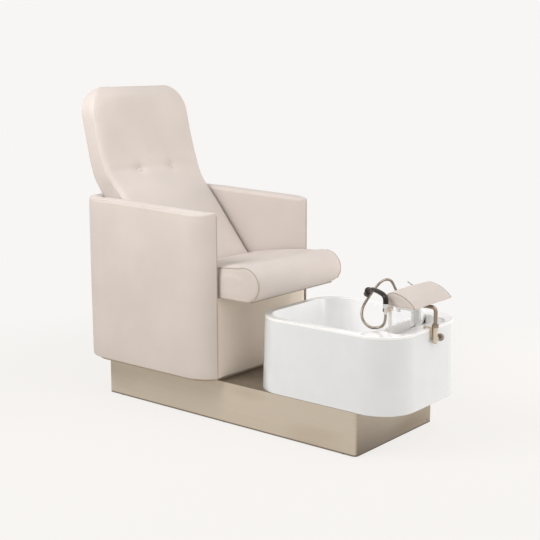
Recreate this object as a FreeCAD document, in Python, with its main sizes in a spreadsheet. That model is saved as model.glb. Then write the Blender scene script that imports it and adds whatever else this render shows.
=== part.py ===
import FreeCAD
import Part
import math
import os
import re
import Sketcher
from FreeCAD import Placement, Rotation, Vector

# Pedicure spa chair, in millimetres. +Z is up, the footbath and footrest point to -Y, and the origin
# is on the floor under the middle of the whole chair. The sitter's right hand is on the -X side.

doc = FreeCAD.newDocument("pedicure_spa_chair")
sheet = doc.addObject("Spreadsheet::Sheet", "Sizes")

SIZES = {
    # base plinth
    "plinth_width": 500, "plinth_length": 1240, "plinth_front": -591, "plinth_top": 166,
    "skirt_gauge": 2, "skirt_lift": 4, "skirt_bend": 17, "skirt_return": 8, "deck_gauge": 2,
    "tube_side": 30, "tube_wall": 2, "frame_relief": 5, "rail_lift": 24, "post_count": 4,
    "foot_radius": 15, "foot_height": 9, "stud_radius": 5, "nut_radius": 9, "nut_height": 6,
    "foot_inset": 60, "skirt_screw_radius": 4.5, "skirt_screw_head": 2,
    # footbath
    "tub_inset": 6.6, "tub_overhang": 142, "tub_length": 625, "tub_top": 444.5, "tub_flare": 8,
    "tub_corner": 128, "tub_wall": 5, "rim_gauge": 9, "rim_width": 30, "rim_round": 2.5, "trough_rim": 14,
    "trough_depth": 33, "weir_front": 122, "weir_gauge": 11, "basin_floor": 202, "basin_draft": 38,
    "basin_front_draft": 75, "basin_corner": 92, "notch_left": 59, "notch_right": 170, "notch_bend": 8,
    "ledge_left": 92, "ledge_reach": 78, "ledge_bend": 16, "ledge_side": 46,
    "trough_left": -150, "trough_bend": 46, "trough_far_bend": 74, "pad_radius": 28,
    # waste fitting
    "drain_y": -360, "drain_bore": 19, "drain_wall": 3, "drain_flange_radius": 36, "flange_gauge": 3,
    "plug_radius": 24, "plug_gauge": 5, "seal_gauge": 2, "waste_radius": 20,
    "waste_level": 88, "waste_bend": 34, "outlet_reach": 38, "spigot_radius": 21, "spigot_gap": 2,
    # upholstered body
    "body_width": 680, "body_thickness": 65, "body_rear": 734, "body_length": 705, "body_corner": 135,
    "body_inner_corner": 45,
    "body_bottom": 179, "arm_front_top": 815, "arm_rear_top": 830, "arm_slope_end": 534,
    "arm_nose_run": 105, "board_gauge": 18, "body_board_top": 795, "apron_gauge": 30,
    "apron_gap": 4, "batten_width": 40, "batten_height": 30,
    # seat and back
    "seat_bottom": 490, "seat_side_gap": 13, "seat_nose": -166, "seat_nose_radius": 66,
    "seat_crest": 621, "seat_crest_y": -62, "seat_rear": 300, "seat_rear_top": 569,
    "seat_board_front": -118, "seat_board_gap": 23, "seat_board_rear": 640,
    "back_side_gap": 16, "back_head_spread": 22, "back_top": 1266, "back_head_corner": 115,
    "back_board_gauge": 12, "back_board_inset": 6, "back_board_side": 26,
    "button_x": 93, "button_z": 932, "button_radius": 12,
    "bracket_gauge": 5, "bracket_width": 40, "bracket_x": 140,
    # footrest; a drop or rise is measured from the footbath's top edge
    "bar_radius": 7, "bar_forward": 15, "bar_bend": 15, "bar_reach": 104,
    "bar_drop": 52.5, "run_clear": 0.06, "rest_clear": 0.3, "collar_radius": 12, "collar_height": 12,
    "clamp_left": 12, "clamp_right": 27, "clamp_drop": 51, "plate_drop": 31, "plate_back": 6,
    "clamp_skin": 1.9, "sleeve_wall": 2.2, "sleeve_bend": 1.2, "boss_radius": 7, "boss_reach": 15,
    "hook_width": 9, "hook_gauge": 4, "hook_reach": 30, "hook_pad_gauge": 3,
    "knob_radius": 13.5, "knob_gauge": 10, "knob_drop": 38.5,
    "knob_gap": 6, "clamp_screw_radius": 4, "bolt_radius": 3, "bolt_head_radius": 5.5, "bolt_head_height": 3,
    "footrest_half": 126, "footrest_rise": 87.5, "footrest_front": -741, "footrest_rear": -614,
    "footrest_crown": 54, "footrest_peak_y": -658, "footrest_plate_gauge": 5, "footrest_plate_half": 60,
    # mixer, handset and water; a rise is measured from the footbath's top edge
    "mixer_x": 128, "mixer_y": -590, "mixer_radius": 18, "mixer_height": 116, "mixer_flange": 23,
    "lever_radius": 3, "lever_reach": 43, "lever_cap": 14, "cartridge_height": 13.4,
    "outlet_x": 98, "outlet_rise": 47.5, "spout_radius": 9, "spout_reach": 84,
    "spout_rise": 22.5, "shank_radius": 14, "shank_length": 46, "nipple_radius": 10.5,
    "nipple_neck": 9.5, "nipple_reach": 26, "nipple_tail": 18,
    "supply_radius": 6, "supply_back": 58, "supply_level": 92, "supply_spread": 34, "shower_radius": 5,
    "post_x": -124, "post_y": -640, "post_radius": 7, "post_rise": 84.5, "cradle_radius": 10.5,
    "cradle_rise": 72.5, "cradle_height": 12, "cone_x": -154, "cone_y": -640, "ferrule_radius": 6.5,
    "ferrule_rise": 63.5, "ferrule_height": 18, "cone_height": 20, "cone_top_radius": 11,
    "cone_foot_radius": 7, "handle_radius": 9, "head_radius": 15,
}
for row, (alias, number) in enumerate(SIZES.items(), start=1):
    sheet.set(f"A{row}", alias.replace("_", " "))
    sheet.set(f"B{row}", str(number))
    sheet.setAlias(f"B{row}", alias)
doc.recompute()


class Cells:
    """Reads a size from the sheet by its alias."""
    def __getattr__(self, alias):
        return float(sheet.get(alias))


S = Cells()
subparts = []


def linked(expression):
    """Puts the sheet's name before every alias in an expression."""
    return re.sub(r"[a-z][a-z_]*[a-z]", lambda word: "Sizes." + word.group(0)
                  if word.group(0) in SIZES else word.group(0), str(expression))


def bind(obj, **expressions):
    for name, expression in expressions.items():
        obj.setExpression(name, linked(expression))
    return obj


def place(obj, x, y, z, rotation=None):
    if rotation:
        obj.Placement = Placement(Vector(0, 0, 0), rotation)
    for axis, expression in zip("xyz", (x, y, z)):
        obj.setExpression("Placement.Base." + axis, linked(expression))
    return obj


def keep(obj, label):
    obj.Label = label
    subparts.append(obj)
    return obj


# Directions for primitives whose own axis is +Z.
ALONG_X = Rotation(Vector(0, 1, 0), 90)
ALONG_MINUS_X = Rotation(Vector(0, 1, 0), -90)
ALONG_Y = Rotation(Vector(1, 0, 0), -90)
ALONG_MINUS_Y = Rotation(Vector(1, 0, 0), 90)


def box(name, length, width, height, x, y, z):
    return place(bind(doc.addObject("Part::Box", name), Length=length, Width=width, Height=height),
                 x, y, z)


def cylinder(name, radius, height, x, y, z, rotation=None):
    return place(bind(doc.addObject("Part::Cylinder", name), Radius=radius, Height=height),
                 x, y, z, rotation)


def cone(name, radius_one, radius_two, height, x, y, z, rotation=None):
    return place(bind(doc.addObject("Part::Cone", name), Radius1=radius_one, Radius2=radius_two,
                      Height=height), x, y, z, rotation)


def fuse(name, *shapes):
    obj = doc.addObject("Part::MultiFuse", name)
    obj.Shapes = list(shapes)
    return obj


def cut(name, base, *tools):
    obj = doc.addObject("Part::Cut", name)
    obj.Base = base
    obj.Tool = tools[0] if len(tools) == 1 else fuse(name + "_tools", *tools)
    return obj


def group(name, *shapes):
    obj = doc.addObject("Part::Compound", name)
    obj.Links = list(shapes)
    return obj


def edge_fillet(name, base, radius, wanted):
    """Rounds the base's edges that wanted(edge) picks."""
    doc.recompute()
    obj = doc.addObject("Part::Fillet", name)
    obj.Base = base
    obj.Edges = [(index, radius, radius) for index, edge in enumerate(base.Shape.Edges, start=1)
                 if wanted(edge)]
    return obj


def shaped(name, shape):
    """A sub-part whose solid is worked out from the sheet's values."""
    obj = doc.addObject("Part::Feature", name)
    obj.Shape = shape
    obj.Placement = Placement()
    return obj


def pick_plane(body, role):
    return next(item for item in body.Origin.OriginFeatures if item.Role == role)


def new_body(name):
    body = doc.addObject("PartDesign::Body", name)
    doc.recompute()
    return body


def new_sketch(body, name, role, level=0):
    """A sketch on one of the body's own planes, offset along its normal by a bound level."""
    sketch = body.newObject("Sketcher::SketchObject", name)
    sketch.AttachmentSupport = [(pick_plane(body, role), "")]
    sketch.MapMode = "FlatFace"
    sketch.setExpression("AttachmentOffset.Base.z", linked(level))
    return sketch


def draw_rectangle(sketch, left, right, low, high):
    """A rectangle whose four sides are held by the sheet's values."""
    corners = [(0, 0), (10, 0), (10, 10), (0, 10)]
    first = sketch.GeometryCount
    for index in range(4):
        start = Vector(*corners[index], 0)
        end = Vector(*corners[(index + 1) % 4], 0)
        sketch.addGeometry(Part.LineSegment(start, end), False)
    for index in range(4):
        sketch.addConstraint(Sketcher.Constraint("Coincident", first + index, 2,
                                                 first + (index + 1) % 4, 1))
    for index, kind in enumerate(["Horizontal", "Vertical", "Horizontal", "Vertical"]):
        sketch.addConstraint(Sketcher.Constraint(kind, first + index))
    for kind, line, expression in [("DistanceX", 3, left), ("DistanceX", 1, right),
                                   ("DistanceY", 0, low), ("DistanceY", 2, high)]:
        number = sketch.addConstraint(Sketcher.Constraint(kind, -1, 1, first + line, 1, 1.0))
        sketch.setExpression(f"Constraints[{number}]", linked(expression))


def draw_circle(sketch, x, y, radius):
    line = sketch.addGeometry(Part.Circle(Vector(1, 1, 0), Vector(0, 0, 1), 5), False)
    for constraint, expression in [(Sketcher.Constraint("DistanceX", -1, 1, line, 3, 1.0), x),
                                   (Sketcher.Constraint("DistanceY", -1, 1, line, 3, 1.0), y),
                                   (Sketcher.Constraint("Radius", line, 5.0), radius)]:
        number = sketch.addConstraint(constraint)
        sketch.setExpression(f"Constraints[{number}]", linked(expression))


def pad(body, name, sketch, length):
    feature = body.newObject("PartDesign::Pad", name)
    feature.Profile = sketch
    feature.setExpression("Length", linked(length))
    return feature


def pocket(body, name, sketch, length, reverse=False):
    feature = body.newObject("PartDesign::Pocket", name)
    feature.Profile = sketch
    feature.setExpression("Length", linked(length))
    feature.Reversed = reverse
    return feature


def rounded_outline(left, right, front, rear, radii, level):
    """A flat rounded rectangle; radii run front-left, front-right, rear-right, rear-left."""
    turns = [(left, front, 1, 1, 180), (right, front, -1, 1, 270),
             (right, rear, -1, -1, 0), (left, rear, 1, -1, 90)]
    arcs = []
    for (x, y, side_x, side_y, start), radius in zip(turns, radii):
        centre = Vector(x + side_x * radius, y + side_y * radius, level)
        points = [centre + Vector(radius * math.cos(math.radians(start + turn)),
                                  radius * math.sin(math.radians(start + turn)), 0)
                  for turn in (0, 45, 90)]
        arcs.append(points)
    edges = []
    for index, points in enumerate(arcs):
        edges.append(Part.Arc(*points).toShape())
        edges.append(Part.LineSegment(points[2], arcs[(index + 1) % 4][0]).toShape())
    return Part.Wire(edges)


def prism(wire, height):
    return Part.Face(wire).extrude(Vector(0, 0, height))


def side_prism(points, low_x, high_x):
    """A polygon of (y, z) points, carried from low_x to high_x."""
    corners = [Vector(low_x, y, z) for y, z in points]
    return Part.Face(Part.makePolygon(corners + corners[:1])).extrude(Vector(high_x - low_x, 0, 0))


def rounded_route(points, share=0.45):
    """Straight runs joined by tangent arcs, as large as each pair of runs allows."""
    points = [Vector(*point) for point in points]
    edges = []
    radii = []
    here = points[0]
    for before, corner, after in zip(points, points[1:], points[2:]):
        come = (corner - before).normalize()
        go = (after - corner).normalize()
        half_turn = come.getAngle(go) / 2
        step = share * min((corner - before).Length, (after - corner).Length)
        radius = step / math.tan(half_turn)
        start = corner - come * step
        end = corner + go * step
        inward = (go - come).normalize()
        middle = corner + inward * (radius / math.cos(half_turn) - radius)
        edges.append(Part.LineSegment(here, start).toShape())
        edges.append(Part.Arc(start, middle, end).toShape())
        radii.append(radius)
        here = end
    edges.append(Part.LineSegment(here, points[-1]).toShape())
    return Part.Wire(edges), radii


def tube_along(route, radius):
    start = route.Edges[0]
    ring = Part.Wire(Part.Circle(start.valueAt(start.FirstParameter),
                                 start.tangentAt(start.FirstParameter), radius).toShape())
    return route.makePipeShell([ring], True, False)


# Places that several pieces share.
PLINTH_REAR = "plinth_front + plinth_length"
TUB_FRONT = "plinth_front - tub_overhang"
TUB_REAR = "plinth_front - tub_overhang + tub_length"
TUB_HALF = "plinth_width / 2 - tub_inset"
DECK_UNDER = "plinth_top - deck_gauge"
SEAT_BOARD_HALF = "(body_width / 2 - body_thickness - seat_board_gap)"
CLAMP_BOTTOM = "(tub_top - clamp_drop)"
KNOB_LEVEL = "(tub_top - knob_drop)"
FOOTREST_BOTTOM = "(tub_top + footrest_rise)"
SPOUT_LEVEL = "(tub_top + spout_rise)"
CRADLE_LEVEL = "(tub_top + cradle_rise)"
FERRULE_LEVEL = "(tub_top + ferrule_rise)"
plinth_rear = S.plinth_front + S.plinth_length
plinth_half = S.plinth_width / 2
deck_under = S.plinth_top - S.deck_gauge
tub_front = S.plinth_front - S.tub_overhang
tub_rear = tub_front + S.tub_length
tub_half = plinth_half - S.tub_inset
trough_floor = S.tub_top - S.trough_depth
weir_front = tub_front + S.weir_front
weir_rear = weir_front + S.weir_gauge
ledge_rear = weir_rear + S.ledge_reach
body_front = S.body_rear - S.body_length
body_half = S.body_width / 2
body_inner = body_half - S.body_thickness
seat_half = body_inner - S.seat_side_gap
seat_board_half = body_inner - S.seat_board_gap
back_half = body_inner - S.back_side_gap
bar_y = tub_front - S.bar_forward
footrest_bottom = S.tub_top + S.footrest_rise
ferrule_level = S.tub_top + S.ferrule_rise


# Base frame: square tube, in three groups of members that are welded end to face.
def square_tube(name, length, x, y, z, along):
    """A square tube of the frame's section, lying along x, y or z."""
    side = "tube_side"
    bore = "tube_side - 2 * tube_wall"
    inset = "tube_wall"
    sizes = {"x": (length, side, side), "y": (side, length, side), "z": (side, side, length)}[along]
    inner = {"x": (length, bore, bore), "y": (bore, length, bore), "z": (bore, bore, length)}[along]
    shift = [f"{value} + {0 if axis == along else inset}" for axis, value in zip("xyz", (x, y, z))]
    outside = box(name + "_outside", *sizes, x, y, z)
    inside = box(name + "_inside", *inner, *shift)
    return cut(name, outside, inside)


RAIL_X = {"left": "-plinth_width / 2 + skirt_gauge + frame_relief",
          "right": "plinth_width / 2 - skirt_gauge - tube_side"}
FRAME_FRONT = "plinth_front + skirt_gauge + frame_relief"
FRAME_LENGTH = "plinth_length - 2 * skirt_gauge - frame_relief"
FRAME_INNER = "plinth_width - 2 * skirt_gauge - frame_relief - 2 * tube_side"
TOP_RAIL_Z = "plinth_top - deck_gauge - tube_side"


def build_frame():
    rails = []
    for side, x in RAIL_X.items():
        for level, z in (("low", "rail_lift"), ("top", TOP_RAIL_Z)):
            rails.append(square_tube(f"rail_{side}_{level}", FRAME_LENGTH, x, FRAME_FRONT, z, "y"))
    keep(group("frame_rails_group", *rails), "frame_side_rails")
    bars = []
    for index, share in enumerate((0, 0.5, 1)):
        y = f"{FRAME_FRONT} + {share} * ({FRAME_LENGTH} - tube_side)"
        for level, z in (("low", "rail_lift"), ("top", TOP_RAIL_Z)):
            bars.append(square_tube(f"bar_{index}_{level}", FRAME_INNER,
                                    "-plinth_width / 2 + skirt_gauge + frame_relief + tube_side", y, z,
                                    "x"))
    keep(group("frame_bars_group", *bars), "frame_crossbars")
    posts = []
    last = int(S.post_count) - 1
    for side, x in RAIL_X.items():
        for index in range(last + 1):
            y = f"{FRAME_FRONT} + {index} / {last} * ({FRAME_LENGTH} - tube_side)"
            posts.append(square_tube(f"post_{side}_{index}",
                                     "plinth_top - deck_gauge - 2 * tube_side - rail_lift",
                                     x, y, "rail_lift + tube_side", "z"))
    keep(group("frame_posts_group", *posts), "frame_posts")


def build_feet():
    feet = []
    nuts = []
    last = 2
    for side, x in (("left", "-plinth_width / 2 + skirt_gauge + frame_relief + tube_side / 2"),
                    ("right", "plinth_width / 2 - skirt_gauge - tube_side / 2")):
        for index in range(last + 1):
            y = f"plinth_front + foot_inset + {index} / {last} * (plinth_length - 2 * foot_inset)"
            name = f"foot_{side}_{index}"
            disc = cone(name + "_pad", "foot_radius", "foot_radius - 5", "foot_height", x, y, 0)
            stud = cylinder(name + "_stud", "stud_radius", "rail_lift - foot_height", x, y, "foot_height")
            feet.append(fuse(name, disc, stud))
            outside = bind(doc.addObject("Part::Prism", name + "_hex"), Circumradius="nut_radius",
                           Height="nut_height")
            outside.Polygon = 6
            place(outside, x, y, "rail_lift - nut_height")
            hole = cylinder(name + "_nut_bore", "stud_radius", "nut_height", x, y,
                            "rail_lift - nut_height")
            nuts.append(cut(name + "_nut", outside, hole))
    keep(group("feet_group", *feet), "levelling_feet")
    keep(group("nuts_group", *nuts), "foot_locknuts")


# Skirts: bent sheet hung on the frame, and the deck sheet that lies on top.
def build_skirts():
    half = plinth_half
    gauge = S.skirt_gauge
    bend = S.skirt_bend
    low = S.skirt_lift
    high = deck_under
    front = S.plinth_front

    def corner(radius):
        centre = Vector(-half + bend, front + bend, low)
        start = centre + Vector(0, -radius, 0)
        middle = centre + Vector(-radius, -radius, 0) * math.sqrt(0.5)
        end = centre + Vector(-radius, 0, 0)
        return start, middle, end

    out_a, out_m, out_b = corner(bend)
    in_a, in_m, in_b = corner(bend - gauge)
    front_end = half - S.skirt_return
    wire = Part.Wire([
        Part.LineSegment(Vector(front_end, front, low), out_a).toShape(),
        Part.Arc(out_a, out_m, out_b).toShape(),
        Part.LineSegment(out_b, Vector(-half, plinth_rear - gauge, low)).toShape(),
        Part.LineSegment(Vector(-half, plinth_rear - gauge, low),
                         Vector(-half + gauge, plinth_rear - gauge, low)).toShape(),
        Part.LineSegment(Vector(-half + gauge, plinth_rear - gauge, low), in_b).toShape(),
        Part.Arc(in_b, in_m, in_a).toShape(),
        Part.LineSegment(in_a, Vector(front_end, front + gauge, low)).toShape(),
        Part.LineSegment(Vector(front_end, front + gauge, low), Vector(front_end, front, low)).toShape(),
    ])
    keep(shaped("front_skirt_shape", prism(wire, high - low)), "front_side_skirt")

    # The other long side, with a short return that shows at the front corner.
    corners = [(half, front), (half, plinth_rear - gauge), (half - gauge, plinth_rear - gauge),
               (half - gauge, front + gauge), (front_end, front + gauge), (front_end, front)]
    points = [Vector(x, y, low) for x, y in corners]
    far = Part.Face(Part.makePolygon(points + points[:1])).extrude(Vector(0, 0, high - low))
    keep(shaped("far_skirt_shape", far), "far_side_skirt")

    height = "plinth_top - deck_gauge - skirt_lift"
    panel = box("rear_skirt_sheet", "plinth_width", "skirt_gauge", height, "-plinth_width / 2",
                f"{PLINTH_REAR} - skirt_gauge", "skirt_lift")
    holes = [cylinder("outlet_hole", "waste_radius + 1", "4 * skirt_gauge", 0,
                      f"{PLINTH_REAR} - 3 * skirt_gauge", "waste_level", ALONG_Y)]
    for name, x in NIPPLE_X.items():
        holes.append(cylinder(name + "_hole", "nipple_neck + rest_clear", "4 * skirt_gauge", x,
                              f"{PLINTH_REAR} - 3 * skirt_gauge", "supply_level", ALONG_Y))
    keep(cut("rear_skirt_cut", panel, *holes), "rear_skirt")


NIPPLE_X = {"hot": "mixer_x - supply_spread", "cold": "mixer_x + supply_spread"}


def build_skirt_screws():
    screws = []
    radius = "skirt_screw_radius"
    head = "skirt_screw_head"
    level = "skirt_lift + 14"
    high_level = "plinth_top - 20"
    screws.append(cylinder("screw_front", radius, head, "plinth_width / 2 - 20", "plinth_front",
                           level, ALONG_MINUS_Y))
    for index, share in enumerate((0.06, 0.5, 0.94)):
        screws.append(cylinder(f"screw_far_{index}", radius, head, "plinth_width / 2",
                               f"plinth_front + {share} * plinth_length", high_level, ALONG_X))
    for index, x in enumerate(("-plinth_width / 2 + 20", "plinth_width / 2 - 20")):
        for row, z in enumerate((level, high_level)):
            screws.append(cylinder(f"screw_rear_{index}_{row}", radius, head, x, PLINTH_REAR, z, ALONG_Y))
    keep(group("skirt_screw_group", *screws), "skirt_screws")


def build_deck():
    body = new_body("deck_body")
    outline = new_sketch(body, "deck_outline", "XY_Plane", DECK_UNDER)
    draw_rectangle(outline, "-plinth_width / 2", "plinth_width / 2", "plinth_front", PLINTH_REAR)
    sheet_pad = pad(body, "deck_sheet", outline, "deck_gauge")
    doc.recompute()
    # The corner over the bent skirt is rounded to the same bend.
    corner = [f"Edge{index}" for index, edge in enumerate(sheet_pad.Shape.Edges, start=1)
              if abs(edge.CenterOfMass.x + plinth_half) < 0.01
              and abs(edge.CenterOfMass.y - S.plinth_front) < 0.01]
    rounding = body.newObject("PartDesign::Fillet", "deck_corner")
    rounding.Base = (sheet_pad, corner)
    rounding.setExpression("Radius", linked("skirt_bend"))
    holes = new_sketch(body, "deck_holes", "XY_Plane", "plinth_top")
    draw_circle(holes, "0", "drain_y", "waste_radius + 14")
    draw_circle(holes, "mixer_x", "mixer_y + supply_back", "waste_radius")
    pocket(body, "deck_hole_cut", holes, "2 * deck_gauge")
    keep(body, "deck_panel")


# Footbath: an outer shell, and a basin with its rim, front trough, weir and mixer ledge.
def tub_outline(grow, level):
    front = S.tub_corner
    return rounded_outline(-tub_half - grow, tub_half + grow, tub_front - grow, tub_rear + grow,
                           [front + grow] * 4, level)


def build_tub_shell():
    low = S.plinth_top
    high = S.tub_top - S.rim_gauge
    flare = S.tub_flare
    wall = S.tub_wall
    slope = flare / (S.tub_top - low)

    def grow_at(level):
        return slope * (S.tub_top - level)

    outside = Part.makeLoft([tub_outline(grow_at(low), low), tub_outline(grow_at(high), high)], True, True)
    inside = Part.makeLoft([tub_outline(grow_at(low) - wall, low + wall),
                            tub_outline(grow_at(high) - wall, high)], True, True)
    shell = outside.cut(inside)
    shell = shell.cut(Part.makeCylinder(S.waste_radius + 14, 3 * wall, Vector(0, S.drain_y, low - wall)))
    shell = shell.cut(Part.makeCylinder(S.waste_radius, 3 * wall,
                                        Vector(S.mixer_x, S.mixer_y + S.supply_back, low - wall)))
    keep(shaped("tub_shell_shape", shell), "tub_shell")


def basin_hollow(grow, floor, top):
    """The bowl's inside, or with grow its outside, tapering towards the floor."""
    draft = S.basin_draft
    left = -tub_half + S.rim_width
    right = tub_half - S.rim_width
    rear = tub_rear - S.rim_width
    corner = S.basin_corner + grow
    corners = [corner / 2, corner / 2, corner, corner]
    upper = rounded_outline(left - grow, right + grow, weir_rear - grow, rear + grow, corners, top)
    lower = rounded_outline(left + draft - grow, right - draft + grow,
                            weir_rear + S.basin_front_draft - grow, rear - draft + grow, corners, floor)
    return Part.makeLoft([lower, upper], True, True)


def build_basin():
    top = S.tub_top
    wall = S.tub_wall
    slope = S.tub_flare / (top - S.plinth_top)
    rim_low = top - S.rim_gauge
    under = rim_low + 1
    ledge_low = trough_floor - S.rim_gauge
    # Cutting tools run past the solid by this much.
    past = 20

    def trough_outline(grow, level):
        return rounded_outline(S.trough_left - grow, S.notch_right + grow, tub_front + S.trough_rim - grow,
                               weir_front + grow,
                               [S.trough_bend, S.trough_far_bend, S.notch_bend, S.trough_bend], level)

    rim = Part.makeLoft([tub_outline(slope * S.rim_gauge, rim_low), tub_outline(0, top)], True, True)
    bowl = basin_hollow(wall, S.basin_floor - wall, under)
    trough_box = prism(trough_outline(wall, trough_floor - wall), under - trough_floor + wall)
    body = rim.fuse([bowl, trough_box])
    # The bowl's hollow leaves the mixer's ledge standing in its far front corner.
    ledge_block = Part.makeBox(tub_half - S.rim_width + past - S.ledge_left, ledge_rear - weir_rear + past,
                               trough_floor - S.basin_floor + past,
                               Vector(S.ledge_left, weir_rear - past, S.basin_floor - past))
    ledge_block = ledge_block.makeFillet(S.ledge_bend, [edge for edge in ledge_block.Edges
                                                        if abs(edge.CenterOfMass.x - S.ledge_left) < 0.01
                                                        and abs(edge.CenterOfMass.y - ledge_rear) < 0.01])
    body = body.cut(basin_hollow(0, S.basin_floor, top + 1).cut(ledge_block))
    body = body.cut(prism(trough_outline(0, trough_floor), S.trough_depth + 1))
    body = body.cut(Part.makeBox(S.notch_right - S.notch_left, weir_rear - weir_front + S.ledge_bend,
                                 S.trough_depth + 1, Vector(S.notch_left, weir_front - 2, trough_floor)))
    top_edges = [edge for edge in body.Edges if edge.BoundBox.ZMin > top - 0.01]
    body = body.makeFillet(S.rim_round, top_edges)
    # Under the ledge it is hollow for the mixer's shank and hoses.
    hollow_low = S.basin_floor - past
    body = body.cut(Part.makeBox(tub_half - S.rim_width - S.ledge_side - S.ledge_left - wall,
                                 ledge_rear - weir_front - wall + S.notch_bend, ledge_low - hollow_low,
                                 Vector(S.ledge_left + wall, weir_front - S.notch_bend, hollow_low)))
    body = body.cut(Part.makeCylinder(S.drain_bore + S.drain_wall, 3 * past,
                                      Vector(0, S.drain_y, S.basin_floor - 2 * past)))
    body = body.cut(Part.makeCylinder(S.shank_radius, 2 * past,
                                      Vector(S.mixer_x, S.mixer_y, trough_floor - 1.5 * past)))
    keep(shaped("basin_shape", body), "tub_basin")


def build_tub_pads():
    height = "basin_floor - 2 * tub_wall - plinth_top"
    pads = []
    for ix, x in enumerate(("-150", "150")):
        for iy, y in enumerate((f"{TUB_FRONT} + 300", f"{TUB_REAR} - 130")):
            pads.append(cylinder(f"pad_{ix}_{iy}", "pad_radius", height, x, y, "plinth_top + tub_wall"))
    keep(group("pad_group", *pads), "tub_pads")


# Waste: flange and tail, seal, nut, plug, and the pipe to the rear.
def build_drain():
    floor = "basin_floor"
    tail_low = "waste_level + waste_bend"
    outer = "drain_bore + drain_wall"
    flange = cylinder("flange_disc", "drain_flange_radius", "flange_gauge", 0, "drain_y", floor)
    tail = cylinder("flange_tail", outer, f"{floor} - ({tail_low})", 0, "drain_y", tail_low)
    bore = cylinder("flange_bore", "drain_bore", f"{floor} - ({tail_low}) + 20", 0, "drain_y", tail_low)
    keep(cut("drain_flange_cut", fuse("drain_flange_solid", flange, tail), bore), "drain_flange")
    under = "basin_floor - tub_wall"
    seal_disc = cylinder("seal_disc", "drain_flange_radius - 3", "seal_gauge", 0, "drain_y",
                         f"{under} - seal_gauge")
    seal_hole = cylinder("seal_hole", outer, "seal_gauge", 0, "drain_y", f"{under} - seal_gauge")
    keep(cut("drain_seal_cut", seal_disc, seal_hole), "drain_seal")
    nut = cylinder("drain_nut_disc", "drain_flange_radius - 4", "10", 0, "drain_y",
                   f"{under} - seal_gauge - 10")
    nut_hole = cylinder("drain_nut_hole", outer, "10", 0, "drain_y", f"{under} - seal_gauge - 10")
    keep(cut("drain_nut_cut", nut, nut_hole), "drain_nut")
    # The plug's cap stands just over the flange and its stem runs in the bore.
    cap = cylinder("plug_cap", "plug_radius", "plug_gauge", 0, "drain_y",
                   "basin_floor + flange_gauge + rest_clear")
    stem = cylinder("plug_stem", "drain_bore / 3", "40", 0, "drain_y",
                    "basin_floor + flange_gauge + rest_clear - 40")
    guide = cylinder("plug_guide", "drain_bore - run_clear", "6", 0, "drain_y",
                     "basin_floor + flange_gauge + rest_clear - 34")
    keep(fuse("plug_solid", cap, stem, guide), "drain_plug")


def build_waste_pipe():
    level = S.waste_level
    bend = S.waste_bend
    start = Vector(0, S.drain_y, level + bend)
    middle = Vector(0, S.drain_y + bend * (1 - math.sqrt(0.5)), level + bend * (1 - math.sqrt(0.5)))
    end = Vector(0, S.drain_y + bend, level)
    route = Part.Wire([Part.Arc(start, middle, end).toShape(),
                       Part.LineSegment(end, Vector(0, plinth_rear + S.outlet_reach, level)).toShape()])
    outer = Part.Wire(Part.Circle(start, Vector(0, 0, 1), S.waste_radius).toShape())
    inner = Part.Wire(Part.Circle(start, Vector(0, 0, 1), S.waste_radius - S.drain_wall).toShape())
    # Outside the rear skirt the pipe ends in a thicker spigot for a hose clip.
    spigot = Part.makeCylinder(S.spigot_radius, S.outlet_reach - S.spigot_gap,
                               Vector(0, plinth_rear + S.spigot_gap, level), Vector(0, 1, 0))
    tube = route.makePipeShell([outer], True, False).fuse(spigot)
    keep(shaped("waste_pipe_shape", tube.cut(route.makePipeShell([inner], True, False))), "waste_pipe")


# Upholstered body: a bent board inside a padded wrap, with the seat's apron, battens and board.
def body_outline(inset, front_line, level):
    """The U in plan between two offsets from the outer face, closed at the front ends."""
    edges = []

    def leg(offset):
        half = body_half - offset
        turn = S.body_inner_corner if offset == S.body_thickness else S.body_corner - offset
        centre_x = half - turn
        centre_y = S.body_rear - offset - turn
        diagonal = turn * math.sqrt(0.5)
        return (half, [Vector(half, centre_y, level),
                       Vector(centre_x + diagonal, centre_y + diagonal, level),
                       Vector(centre_x, centre_y + turn, level)])

    outer_half, outer = leg(inset[0])
    inner_half, inner = leg(inset[1])
    flip = lambda point: Vector(-point.x, point.y, point.z)
    front = [Vector(outer_half, front_line[0], level), Vector(inner_half, front_line[1], level)]
    edges.append(Part.LineSegment(front[0], outer[0]).toShape())
    edges.append(Part.Arc(*outer).toShape())
    edges.append(Part.LineSegment(outer[2], flip(outer[2])).toShape())
    edges.append(Part.Arc(flip(outer[2]), flip(outer[1]), flip(outer[0])).toShape())
    edges.append(Part.LineSegment(flip(outer[0]), flip(front[0])).toShape())
    if front_line[0] == front_line[1]:
        edges.append(Part.LineSegment(flip(front[0]), flip(front[1])).toShape())
        closing = Part.LineSegment(front[1], front[0]).toShape()
    else:
        # The arm's front is a round nose from the outer face in to the seat's side.
        run = front_line[0] - front_line[1]
        across = outer_half - inner_half
        turn = (across ** 2 + run ** 2) / (2 * across)
        half_angle = math.asin(run / turn) / 2
        bulge = Vector(outer_half - turn * (1 - math.cos(half_angle)),
                       front_line[0] - turn * math.sin(half_angle), level)
        edges.append(Part.Arc(flip(front[0]), flip(bulge), flip(front[1])).toShape())
        closing = Part.Arc(front[1], bulge, front[0]).toShape()
    edges.append(Part.LineSegment(flip(front[1]), flip(inner[0])).toShape())
    edges.append(Part.Arc(flip(inner[0]), flip(inner[1]), flip(inner[2])).toShape())
    edges.append(Part.LineSegment(flip(inner[2]), inner[2]).toShape())
    edges.append(Part.Arc(inner[2], inner[1], inner[0]).toShape())
    edges.append(Part.LineSegment(inner[0], front[1]).toShape())
    edges.append(closing)
    return Part.Wire(Part.__sortEdges__(edges))


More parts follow.
